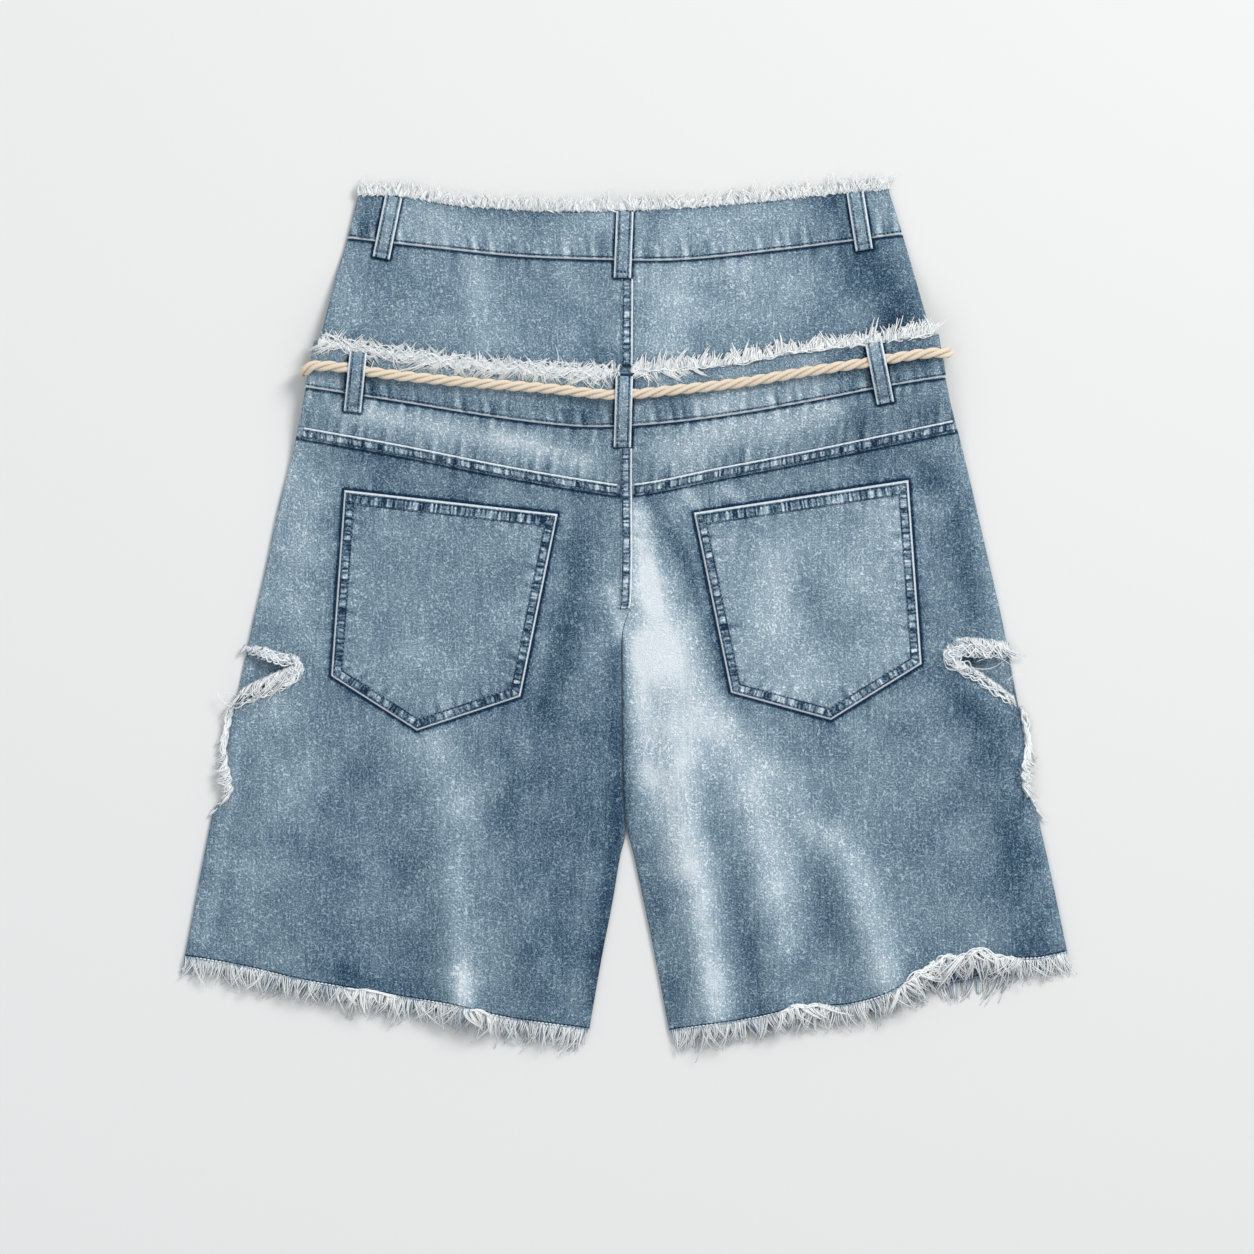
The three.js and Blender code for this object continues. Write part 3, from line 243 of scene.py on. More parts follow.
# Rips: edge of the hole from the side fold to its tip and back, and the bite out of the fold below it
RIPS = {
    "left": {
        "sign": -1,
        "upper": [(-287, -26), (-274, -26), (-260, -31), (-247.5, -32.5)],
        "tip": (-243, -43.5),
        "lower": [(-253, -52.5), (-268, -59), (-283, -65), (-295, -69)],
        "bite": [(-300.5, -98), (-300, -113), (-297.5, -123), (-296, -132), (-300, -139), (-311, -147)],
        "ruffle": [(-284, -28), (-270, -31), (-256, -35), (-247, -38), (-246, -45), (-252, -49), (-262, -52)],
        "inner": [(-247, -37), (-256, -42), (-268, -47), (-280, -52), (-290, -58)],
    },
    "right": {
        "sign": 1,
        "upper": [(286, -23), (274, -21), (261, -19.5), (248, -19.5)],
        "tip": (237.5, -29),
        "lower": [(240, -38), (254, -45), (272, -56), (292, -69)],
        "bite": [(299.5, -98), (298, -110), (296.5, -121), (297.5, -130), (301.5, -138), (308, -147)],
        "ruffle": [(288, -28), (276, -27), (262, -27), (250, -26), (243, -31), (248, -38), (260, -44)],
        "inner": [(242, -32), (252, -38), (264, -44), (278, -54), (290, -63)],
    },
}


def clamp(value):
    return np.clip(value, 0.0, 1.0)


def mix(a, b, t):
    return a + (b - a) * t


def smooth(value):
    """Smoothstep: 0 below 0, 1 above 1, level at both."""
    value = clamp(value)
    return value * value * (3 - 2 * value)


def swell(value):
    """Quarter sine: rises steeply from 0 and levels at 1."""
    return np.sin(clamp(value) * math.pi / 2)


def bell(value):
    """Gauss curve: 1 at 0, and nearly 0 past 2."""
    return np.exp(-value ** 2)


def hill(value):
    """(1 - v^2)^2 inside -1 to 1, and 0 outside."""
    return (1 - np.minimum(1, np.abs(value)) ** 2) ** 2


def curve(rows, start, end):
    """Cubic Hermite curve through a table's rows with slopes from the neighbours; straight past its ends."""
    order = np.argsort(rows[start])
    at, value = rows[start][order], rows[end][order]
    last = len(at) - 1
    before = np.maximum(np.arange(last + 1) - 1, 0)
    after = np.minimum(np.arange(last + 1) + 1, last)
    slope = (value[after] - value[before]) / (at[after] - at[before])

    def read(x):
        x = np.asarray(x, float)
        k = np.clip(np.searchsorted(at, x, side="right") - 1, 0, last - 1)
        width = at[k + 1] - at[k]
        t = clamp((x - at[k]) / width)
        inside = ((1 + 2 * t) * (1 - t) ** 2 * value[k] + t * (1 - t) ** 2 * width * slope[k]
                  + t * t * (3 - 2 * t) * value[k + 1] + t * t * (t - 1) * width * slope[k + 1])
        past = slope[0] * np.minimum(0, x - at[0]) + slope[last] * np.maximum(0, x - at[last])
        return inside + past

    return read


upper_left, upper_right = curve(UPPER_SIDES, "y", "left"), curve(UPPER_SIDES, "y", "right")
lower_left, lower_right = curve(LOWER_SIDES, "y", "left"), curve(LOWER_SIDES, "y", "right")
middle_line, middle_gap = curve(BETWEEN_LEGS, "y", "x"), curve(BETWEEN_LEGS, "y", "gap")
waist_edge, upper_band_seam = curve(WAIST_EDGE, "x", "y"), curve(UPPER_BAND_SEAM, "x", "y")
lower_band_edge, lower_band_seam = curve(LOWER_BAND_EDGE, "x", "y"), curve(LOWER_BAND_SEAM, "x", "y")
yoke_seam, hem_left = curve(YOKE_SEAM, "x", "y"), curve(HEM_LEFT, "x", "y")
hem_right_back, hem_right_front = curve(HEM_RIGHT_BACK, "x", "y"), curve(HEM_RIGHT_FRONT, "x", "y")
rope_line, loft_height = curve(ROPE_LINE, "x", "y"), curve(LOFT, "y", "height")


def inner_left(y):
    return middle_line(y) - middle_gap(y) / 2


def inner_right(y):
    return middle_line(y) + middle_gap(y) / 2


def crotch_turn(y):
    return smooth((-2 - y) / 43)


def front_lift(x, y):
    """Height of the front's lower face: flat on the floor, lifted over the rope and the button."""
    button = hill(np.hypot(x - BUTTON_X, y - UPPER_BUTTON_Y) / 80)
    return (FRONT_LIFT * hill((y - rope_line(x)) / LIFT_REACH) + (BUTTON_HEIGHT + BUTTON_AIR) * button
            + 0.7 * smooth((y - upper_band_seam(x) + 25) / 25))


def beside(x, y, x0, y0, x1, y1):
    """Share of the way along a straight line, and the distance to its right."""
    length = math.hypot(x1 - x0, y1 - y0)
    return (((x - x0) * (x1 - x0) + (y - y0) * (y1 - y0)) / length ** 2,
            ((x - x0) * (y1 - y0) - (y - y0) * (x1 - x0)) / length)


def ridge(fold, x, y):
    """A ridge along a line that grows from its start and keeps its height past its end."""
    *ends, width, height = fold
    along, off = beside(x, y, *ends)
    return height * smooth(along * 1.6) * bell(off / width)


def folds_of(part, x, y):
    return sum(ridge(fold, x, y) for fold in FOLDS[part])


def leg_loft(x, y):
    to_side = np.minimum(x - lower_left(y), lower_right(y) - x)
    to_inside = np.abs(x - middle_line(y)) - middle_gap(y) / 2
    inside = 1 - crotch_turn(y) * (1 - swell(to_inside / EDGE_REACH))
    folds = np.where(x < middle_line(y), folds_of("left", x, y), folds_of("right", x, y))
    return swell(to_side / EDGE_REACH) * inside * (loft_height(y) + folds)


def upper_loft(x, y):
    to_side = np.minimum(x - upper_left(y), upper_right(y) - x)
    fade = smooth((y - lower_band_edge(x)) / 15) * smooth((upper_band_seam(x) - y) / 15)
    return swell(to_side / EDGE_REACH) * (loft_height(y) + fade * folds_of("upper", x, y))


def crease(row, x, y):
    """A soft crease with a wavering middle line: a bell across it, and it fades out at both ends."""
    *ends, width, height = row
    along, off = beside(x, y, *ends)
    off = off + 0.3 * width * np.sin(along * 7 + ends[0])
    ends = smooth((along + 0.1) / 0.4) * smooth((1.1 - along) / 0.4)
    return height * ends * bell(off / width)


def billow(x, y):
    """Slow unevenness: three crossed sines of 45 to 110 mm."""
    return (0.30 * np.sin(x / 11.3 + 0.6 * np.sin(y / 17) + 1.0) * np.sin(y / 15.1 + 0.4)
            + 0.35 * np.sin(x / 17.7 - y / 23.0 + 2.1) + 0.25 * np.sin(y / 9.3 + x / 31.0))


def gathers(along, off, reach, seed=0.0):
    """Puckers beside a seam: three slanted sines of 7 to 18 mm along it, fading with the distance off."""
    wave = (0.50 * np.sin((along + 0.14 * off) * 0.56 + 1.1 + seed)
            + 0.32 * np.sin((along - 0.10 * off) * 0.35 + 0.4 - 2 * seed)
            + 0.42 * np.sin((along + 0.18 * off) * 0.91 + 2.0 + 3 * seed))
    return wave * (0.75 + 0.35 * np.sin(along * 0.083 + 5 * seed)) * bell(off / reach)


def pocket_edges(side):
    """The pocket's five edges as (start, unit direction, outward normal, length, run at the start)."""
    corners = np.array(POCKETS[side], float)
    if side == "right":
        corners = corners[[1, 0, 4, 3, 2]]
    following = np.roll(corners, -1, axis=0)
    step = following - corners
    length = np.hypot(step[:, 0], step[:, 1])
    along = step / length[:, None]
    outward = np.stack([-along[:, 1], along[:, 0]], axis=1)
    return corners, along, outward, length, np.concatenate([[0], np.cumsum(length)[:-1]])


def pocket_distance(side, x, y):
    """Distance outside the pocket's edge (negative inside) and the run along it, of the nearest edge."""
    start, along, outward, length, run = pocket_edges(side)
    dx, dy = x[..., None] - start[:, 0], y[..., None] - start[:, 1]
    t = np.clip(dx * along[:, 0] + dy * along[:, 1], 0, length)
    gap = np.hypot(dx - t * along[:, 0], dy - t * along[:, 1])
    beyond = dx * outward[:, 0] + dy * outward[:, 1]
    nearest = np.argmin(gap, axis=-1)[..., None]
    distance = np.take_along_axis(gap, nearest, -1)[..., 0]
    inside = np.max(beyond, axis=-1) < 0
    return np.where(inside, -distance, distance), np.take_along_axis(t + run, nearest, -1)[..., 0]


def raised(face, lift):
    """A face's height, moved up."""
    return lambda x, y: face(x, y) + lift


def edge_fade(x, y, left, right, reach=14):
    """0 at the side folds and 1 further in, so that relief leaves the folds alone."""
    return smooth((x - left(y)) / reach) * smooth((right(y) - x) / reach)


def leg_relief(x, y):
    """Creases, unevenness and the puckers along the yoke seam, the centre seam and the pockets."""
    inner = 1 - crotch_turn(y) * (1 - smooth((np.abs(x - middle_line(y)) - middle_gap(y) / 2) / 16))
    body = sum(crease(row, x, y) for row in CREASES["leg"]) + 0.8 * billow(x, y)
    under = yoke_seam(x) - y
    seams = 0.55 * gathers(x, under, 15) + 0.45 * gathers(x, lower_band_seam(x) - y, 11, 0.7)
    seams += 0.4 * gathers(y, x - middle_line(y), 12, 1.9) * smooth((y + 20) / 30)
    for side in POCKETS:
        distance, run = pocket_distance(side, x, y)
        seams += 0.5 * gathers(run, np.abs(distance), 10, 2.5)
    return edge_fade(x, y, lower_left, lower_right) * inner * (body + seams)


def upper_relief(x, y):
    body = sum(crease(row, x, y) for row in CREASES["upper"]) + 0.35 * billow(x, y)
    seams = 0.4 * gathers(x, upper_band_seam(x) - y, 12, 0.3) + 0.3 * gathers(y, x - middle_line(y), 10, 1.1)
    fade = edge_fade(x, y, upper_left, upper_right)
    return fade * (body + seams) * smooth((y - lower_band_edge(x) + 4) / 18)


def yoke_step(x, y):
    return 1.6 * (1 - smooth((lower_band_seam(x) - y) / 42))


def upper_back_plain(x, y):
    return front_lift(x, y) + DENIM + PLY_GAP + upper_loft(x, y) + DENIM


def upper_back(x, y):
    return upper_back_plain(x, y) + upper_relief(x, y)


def band_relief(x, y, seam, seed):
    """Puckers that grow toward the band's lower seam."""
    return 0.55 * gathers(x, y - seam(x), 14, seed) + 0.2 * billow(x * 1.3, y)


def upper_band_back(x, y):
    fade = edge_fade(x, y, upper_left, upper_right, 10)
    return upper_back_plain(x, y) + 0.7 + fade * band_relief(x, y, upper_band_seam, 0.9)


def upper_band_front(x, y):
    return np.maximum(0, front_lift(x, y) - 0.7)


def lower_band_plain(x, y):
    return upper_back_plain(x, y) + SEAM + WAISTBAND


def lower_band_back(x, y):
    fade = edge_fade(x, y, lower_left, lower_right, 10)
    return lower_band_plain(x, y) + fade * band_relief(x, y, lower_band_seam, 2.2)


def lower_band_front(x, y):
    return front_lift(x, y) - SEAM - WAISTBAND


def leg_back_plain(x, y):
    blend = smooth((y - lower_band_seam(x) + 42) / 42)
    return (front_lift(x, y) + DENIM + PLY_GAP + DENIM + yoke_step(x, y)
            + mix(leg_loft(x, y), upper_loft(x, y), blend))


def leg_back(x, y):
    return leg_back_plain(x, y) + leg_relief(x, y)


def leg_front(x, y):
    """The front lies on the floor, with a few shallow lifts in it."""
    lifts = np.maximum(0, 0.5 * billow(x * 0.8, y * 0.7) - 0.1)
    fade = edge_fade(x, y, lower_left, lower_right)
    return np.maximum(0, front_lift(x, y) - yoke_step(x, y)) + fade * lifts


def side_fold_height(x, y):
    return front_lift(x, y) + DENIM + PLY_GAP / 2


def stroke(x, y, points, width):
    """1 on a line through the points, falling as a bell across it and past its ends."""
    best = np.full(np.shape(x), 1e9)
    for (x0, y0), (x1, y1) in zip(points, points[1:]):
        t = clamp(beside(x, y, x0, y0, x1, y1)[0])
        best = np.minimum(best, np.hypot(x - x0 - t * (x1 - x0), y - y0 - t * (y1 - y0)))
    return bell(best / width)


def wash_and_shade(part, base, x, y):
    """The tone of the cloth, 0 deep to 1 bleached: a base, listed strokes of washed-out fades, painted shade
    and painted highlights, and a slow mottling.
    """
    tone = base + 0.045 * billow(x * 1.7 + 30, y * 1.4)
    for change, width, *points in WASH_AND_SHADE.get(part, ()):
        tone = tone + change * stroke(x, y, points, width)
    return tone


def leg_tone(x, y, hem):
    """Leg tone: washed fades with painted shade and highlights, worn puckers by the seams and pockets,
    painted shadow below the yoke's felled seam, the lower band and round the pockets, darker near the hem,
    and a painted highlight along the side folds.
    """
    tone = wash_and_shade("leg", 0.34, x, y) + 0.05 * smooth(y / 120)
    under = yoke_seam(x) - y
    # Worn puckers below the yoke seam, and a painted shadow line below the edge of its felled seam.
    tone += 0.26 * gathers(x, under, 13) - 0.10 * bell((under - 10) / 5)
    # Worn puckers below the lower band, and a painted shadow under its edge.
    tone += 0.28 * gathers(x, lower_band_seam(x) - y, 10, 0.7) - 0.12 * bell((lower_band_seam(x) - y) / 4)
    for side in POCKETS:
        distance, run = pocket_distance(side, x, y)
        # Worn puckers round the pockets, and a painted shadow round their edges.
        tone += 0.14 * gathers(run, np.abs(distance), 8, 2.5) - 0.20 * bell(distance / 4.5)
    tone += 0.12 * gathers(y, x - middle_line(y), 10, 1.9) * smooth((y + 20) / 30)
    tone -= 0.10 * bell((y - hem(x)) / 9)
    # Painted highlight along the side folds.
    edge = np.minimum(x - lower_left(y), lower_right(y) - x)
    return tone + 0.05 * bell((edge - 3) / 4) * smooth((edge + 4) / 4)


def beyond_loops(x, y):
    """Distance outside the nearest belt loop on the back."""
    best = np.full(np.shape(x), 99.0)
    for (x0, y0), (x1, y1) in [*UPPER_LOOPS.values(), *LOWER_LOOPS.values()]:
        length = math.hypot(x1 - x0, y1 - y0)
        along = ((x - x0) * (x1 - x0) + (y - y0) * (y1 - y0)) / length
        aside = np.abs((x - x0) * (y1 - y0) - (y - y0) * (x1 - x0)) / length - LOOP_WIDTH / 2
        past = np.maximum(np.maximum(-along, along - length), 0)
        best = np.minimum(best, np.hypot(np.maximum(aside, 0), past))
    return best


def leg_lee(x, y):
    """Distance from the nearest edge that lies on the leg or yoke: band, yoke seam, pocket or loop. The seam
    tone paints a shadow beside these edges from it.
    """
    seam = np.abs(lower_band_seam(x) - y)
    felled = np.abs(yoke_seam(x) - FELLED_WIDTH - y) + 0.4
    lee = np.minimum(np.minimum(seam, felled), beyond_loops(x, y))
    for side in POCKETS:
        lee = np.minimum(lee, np.abs(pocket_distance(side, x, y)[0]))
    return lee


# Distance from the upper band's seam and the loops, for the painted shadow beside them.
def upper_lee(x, y):
    return np.minimum(np.abs(upper_band_seam(x) - y), beyond_loops(x, y))


def upper_tone(x, y):
    # Painted shadow just under the upper band's seam.
    tone = wash_and_shade("upper", 0.36, x, y) - 0.10 * bell((upper_band_seam(x) - y) / 5)
    tone += 0.16 * gathers(x, upper_band_seam(x) - y, 12, 0.3) + 0.10 * gathers(y, x - middle_line(y), 9, 1.1)
    # Painted shade along the lower band's top edge.
    return tone - 0.10 * bell((y - lower_band_edge(x)) / 10)


def band_tone(x, y, seam, edge, seed):
    tone = wash_and_shade("band", 0.45, x, y) + 0.36 * gathers(x, y - seam(x), 13, seed)
    return tone - 0.12 * bell((edge(x) - y) / 6)


# ---------------------------------------------------------------- meshes


def new_mesh(name, points, faces, material, smooth_faces=True, **attributes):
    """A mesh object from points in millimetres, a list of face arrays and named point attributes."""
    mesh = bpy.data.meshes.new(name)
    mesh.vertices.add(len(points))
    mesh.vertices.foreach_set("co", (np.asarray(points, float) * MM).ravel())
    corners = np.concatenate([part.ravel() for part in faces])
    sizes = np.concatenate([np.full(len(part), part.shape[1]) for part in faces])
    mesh.loops.add(len(corners))
    mesh.loops.foreach_set("vertex_index", corners.astype(np.int32))
    mesh.polygons.add(len(sizes))
    mesh.polygons.foreach_set("loop_start", np.concatenate([[0], np.cumsum(sizes)[:-1]]).astype(np.int32))
    mesh.update(calc_edges=True)
    mesh.polygons.foreach_set("use_smooth", np.full(len(sizes), smooth_faces))
    for key, value in attributes.items():
        layer = mesh.attributes.new(key, "FLOAT", "POINT")
        layer.data.foreach_set("value", np.asarray(value, np.float32).ravel())
    mesh.validate()
    mesh.materials.append(material)
    piece = bpy.data.objects.new(name, mesh)
    bpy.context.scene.collection.objects.link(piece)
    return piece


def grid_faces(rows, columns, flip=False):
    """Quads of a grid of points with that many rows and columns."""
    at = np.arange(rows * columns).reshape(rows, columns)
    quads = np.stack([at[:-1, :-1], at[1:, :-1], at[1:, 1:], at[:-1, 1:]], axis=-1).reshape(-1, 4)
    return quads[:, ::-1] if flip else quads


def angles(count):
    """Angles of that many even steps round a circle."""
    return np.arange(count) * 2 * math.pi / count


def tube_faces(count, rings, sides):
    """Quads round tubes of that many rings, and the faces that close their ends."""
    at = np.arange(count * rings * sides).reshape(count, rings, sides)
    turned = np.roll(at, -1, axis=2)
    quads = np.stack([at[:, :-1], turned[:, :-1], turned[:, 1:], at[:, 1:]], axis=-1).reshape(-1, 4)
    return [quads, at[:, 0, ::-1], at[:, -1]]


def finish_piece(piece, slot_name, *nodes):
    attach(piece, "root")
    if nodes:
        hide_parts(*nodes)
    return piece


def run_of(points):
    """Distance along a line of points from its first."""
    return np.concatenate([[0], np.cumsum(np.hypot(*np.diff(points, axis=0).T))])


def place_at(at, run, points):
    """x and y at distances along a line of points."""
    return (np.interp(at, run, points[:, axis]) for axis in (0, 1))


def outside_outline(x, y, outline):
    """Even-odd test against a closed outline: True outside it."""
    inside = np.zeros(np.shape(x), bool)
    for (x0, y0), (x1, y1) in zip(outline, np.roll(outline, -1, axis=0)):
        crosses = (y0 > y) != (y1 > y)
        at = x0 + (y - y0) * (x1 - x0) / (y1 - y0 + 1e-12)
        inside ^= crosses & (x < at)
    return ~inside


def nearest_on_outline(x, y, outline):
    best, bx, by = np.full(x.shape, 1e9), x.copy(), y.copy()
    for (x0, y0), (x1, y1) in zip(outline, np.roll(outline, -1, axis=0)):
        length = (x1 - x0) ** 2 + (y1 - y0) ** 2 + 1e-12
        t = np.clip(((x - x0) * (x1 - x0) + (y - y0) * (y1 - y0)) / length, 0, 1)
        px, py = x0 + t * (x1 - x0), y0 + t * (y1 - y0)
        gap = np.hypot(px - x, py - y)
        near = gap < best
        best, bx, by = np.where(near, gap, best), np.where(near, px, bx), np.where(near, py, by)
    return bx, by


def ragged(points, step=2.0, height=0.8, seed=1.0):
    """The outline through the points, cut into short steps that waver to both sides."""
    points = np.array(points, float)
    run = run_of(points)
    at = np.linspace(0, run[-1], max(2, int(run[-1] / step)))
    line = np.stack([*place_at(at, run, points)], axis=1)
    along = np.gradient(line, axis=0)
    along /= np.hypot(along[:, 0], along[:, 1])[:, None]
    wave = height * (np.sin(at * 0.9 + seed) + np.sin(at * 2.3 + 2 * seed)) / 2
    return line + np.stack([-along[:, 1], along[:, 0]], axis=1) * wave[:, None]


def rip_outlines(side, bite_only=False):
    rip = RIPS[side]
    out = rip["sign"] * 14
    outlines = [[(rip["bite"][0][0] + out, rip["bite"][0][1]), *ragged(rip["bite"], seed=2.0),
                 (rip["bite"][-1][0] + out, rip["bite"][-1][1])]]
    if not bite_only:
        hole = [*rip["upper"], rip["tip"], *rip["lower"]]
        outlines.append([(hole[0][0] + out, hole[0][1]), *ragged(hole, seed=0.5),
                         (hole[-1][0] + out, hole[-1][1])])
    return [np.array(outline, float) for outline in outlines]


def trim(points, quads, outlines):
    """Takes the faces inside the outlines away and pulls the points that are left inside onto the outline."""
    points = points.copy()
    for outline in outlines:
        outside = outside_outline(points[:, 0], points[:, 1], outline)
        quads = quads[outside[quads].any(axis=1)]
        pulled = np.unique(quads[~outside[quads]])
        points[pulled, 0], points[pulled, 1] = nearest_on_outline(*points[pulled, :2].T, outline)
    return points, quads


def panel_grid(top, bottom, left, right, face, facing, turn_left, turn_right, roundness, step,
               row_step=None, crowd=1.0):
    """A panel between two lines across the garment and two edges down it, as a grid (across, down). A turned
    edge follows a quarter ellipse down to the height where the back and the front are sewn together."""
    middle_y = (float(top(0.0)) + float(bottom(0.0))) / 2
    columns = int((float(right(middle_y)) - float(left(middle_y))) / step)
    rows = int(abs(float(top(0.0)) - float(bottom(0.0))) / (row_step or step))
    across, turn = np.linspace(0, 1, columns + 1), np.zeros(columns + 1)
    curl = np.arange(1, 9) / 8
    if turn_left is not None:
        across, turn = np.concatenate([np.zeros(8), across]), np.concatenate([-curl[::-1], turn])
    if turn_right is not None:
        across, turn = np.concatenate([across, np.ones(8)]), np.concatenate([turn, curl])
    round_left = roundness if turn_left is not None else 0
    round_right = roundness if turn_right is not None else 0
    down = (np.linspace(0, 1, rows + 1) ** crowd)[:, None]
    angle = turn[None, :] * math.pi / 2
    x = np.zeros((rows + 1, len(across)))
    y = np.full_like(x, middle_y)
    for _ in range(10):
        x = mix(left(y) + round_left, right(y) - round_right, across[None, :]) + roundness * np.sin(angle)
        y = mix(top(x), bottom(x), down)
    outside = face(x, y)
    air = SEAM / 2 + 0.5 * hill((y - 112) / 55)
    seam = side_fold_height(x, y) + facing * air
    turned = np.zeros_like(x)
    if turn_left is not None:
        turned = np.where(turn[None, :] < 0, turn_left(y), turned)
    if turn_right is not None:
        turned = np.where(turn[None, :] > 0, turn_right(y), turned)
    return np.stack([x, y, outside - turned * (1 - np.cos(angle)) * (outside - seam)], axis=-1)


def folded(y):
    return np.ones_like(y)


def cloth(name, node, grid, facing, wall, tone, off, along, material, outlines=(), lee=99.0):
    """A sewn piece: the outer face as a grid, given its wall inward by Solidify."""
    rows, columns = grid.shape[:2]
    points, quads = grid.reshape(-1, 3), grid_faces(rows, columns, facing < 0)
    tone, off, along, lee = (np.broadcast_to(v, (rows, columns)).ravel() for v in (tone, off, along, lee))
    if len(outlines):
        points, quads = trim(points, quads, outlines)
        used, quads = np.unique(quads, return_inverse=True)
        quads = quads.reshape(-1, 4)
        points, tone, off, along, lee = points[used], tone[used], off[used], along[used], lee[used]
    piece = new_mesh(name, points, [quads], material, tone=tone, off=off, along=along, lee=lee)
    solidify = piece.modifiers.new("wall", "SOLIDIFY")
    solidify.thickness, solidify.offset = wall * MM, -1
    finish_piece(piece, "denim", node)
    return piece


# ---------------------------------------------------------------- materials


def add_node(tree, kind, inputs=None, **settings):
    """A node with its settings and its inputs, each a socket to link or a value."""
    node = tree.nodes.new("ShaderNode" + kind)
    for key, value in settings.items():
        setattr(node, key, value)
    for key, value in (inputs or {}).items():
        if isinstance(value, bpy.types.NodeSocket):
            tree.links.new(value, node.inputs[key])
        else:
            node.inputs[key].default_value = value
    return node


def calc(tree, operation, *values, clamped=False):
    node = add_node(tree, "Math", dict(enumerate(values)), operation=operation, use_clamp=clamped)
    return node.outputs[0]


def noise(tree, vector, scale, detail=2.0, roughness=0.5, distortion=0.0):
    return add_node(tree, "TexNoise", {"Vector": vector, "Scale": scale, "Detail": detail,
                                       "Roughness": roughness, "Distortion": distortion}).outputs[0]


def ranged(tree, value, low, high, start=0.0, end=1.0, kind="LINEAR"):
    """The value's place between low and high, as one between start and end."""
    return add_node(tree, "MapRange", {"Value": value, "From Min": low, "From Max": high, "To Min": start,
                                       "To Max": end}, interpolation_type=kind).outputs[0]


def read_attribute(tree, name):
    return add_node(tree, "Attribute", attribute_name=name).outputs["Fac"]


def new_group(name, inputs, outputs):
    tree = bpy.data.node_groups.new(name, "ShaderNodeTree")
    for socket, kind, value in inputs:
        made = tree.interface.new_socket(socket, in_out="INPUT", socket_type="NodeSocket" + kind)
        if value is not None:
            made.default_value = value
    for socket, kind in outputs:
        tree.interface.new_socket(socket, in_out="OUTPUT", socket_type="NodeSocket" + kind)
    return tree, tree.nodes.new("NodeGroupInput").outputs, tree.nodes.new("NodeGroupOutput").inputs


def use_group(tree, group, **inputs):
    node = tree.nodes.new("ShaderNodeGroup")
    node.node_tree = group
    for key, value in inputs.items():
        socket = node.inputs[key.replace("_", " ")]
        if isinstance(value, bpy.types.NodeSocket):
            tree.links.new(value, socket)
        else:
            socket.default_value = value
    return node.outputs


def millimetres(tree):
    """Object coordinates in millimetres."""
    coordinates = add_node(tree, "TexCoord").outputs["Object"]
    return add_node(tree, "Mapping", {"Vector": coordinates, "Scale": (1000, 1000, 1000)}).outputs[0]


def worn_grain_group():
    """Curly washed grain: thin winding lines where a noise passes its middle value, over distorted waves that
    run across, along or aslant by another noise; and a fine noise, long streaks and clouds."""
    tree, given, result = new_group(
        "Washed grain", [("Vector", "Vector", None), ("Pitch", "Float", 2.7)],
        [("Grain", "Float"), ("Fine", "Float"), ("Streaks", "Float"), ("Clouds", "Float")])
    scale = calc(tree, "DIVIDE", 0.32, given["Pitch"])
    waves = [
        add_node(tree, "TexWave", {"Vector": given["Vector"], "Scale": scale, "Distortion": 9.0,
                                   "Detail": 2.0, "Detail Scale": 2.2, "Detail Roughness": 0.6,
                                   "Phase Offset": phase},
                 wave_type="BANDS", bands_direction=direction).outputs["Fac"]
        for direction, phase in (("X", 0.0), ("Y", 2.0), ("DIAGONAL", 1.0))
    ]
    choose = noise(tree, given["Vector"], 0.11, 1.0)
    first, second = (ranged(tree, choose, *ends) for ends in ((0.42, 0.52), (0.54, 0.62)))
    pair = add_node(tree, "Mix", {"Factor": first, 2: waves[0], 3: waves[1]}).outputs[0]
    curls = add_node(tree, "Mix", {"Factor": second, 2: pair, 3: waves[2]}).outputs[0]
    winding = noise(tree, given["Vector"], 0.48, 0.0, distortion=0.4)
    lines = ranged(tree, calc(tree, "ABSOLUTE", calc(tree, "SUBTRACT", winding, 0.5)), 0.015, 0.085, 1.0, 0.0,
                   "SMOOTHSTEP")
    curls = calc(tree, "MULTIPLY_ADD", lines, 0.8, calc(tree, "MULTIPLY_ADD", curls, 0.3, 0.09))
    fine = noise(tree, given["Vector"], 1.05, roughness=0.6)
    long = add_node(tree, "Mapping", {"Vector": given["Vector"], "Scale": (0.55, 0.05, 0.3)}).outputs[0]
    streaks = noise(tree, long, 1.0)
    clouds = noise(tree, given["Vector"], 0.03, 3.0)
    for key, value in (("Grain", curls), ("Fine", fine), ("Streaks", streaks), ("Clouds", clouds)):
        tree.links.new(calc(tree, "SUBTRACT", value, 0.5), result[key])
    return tree


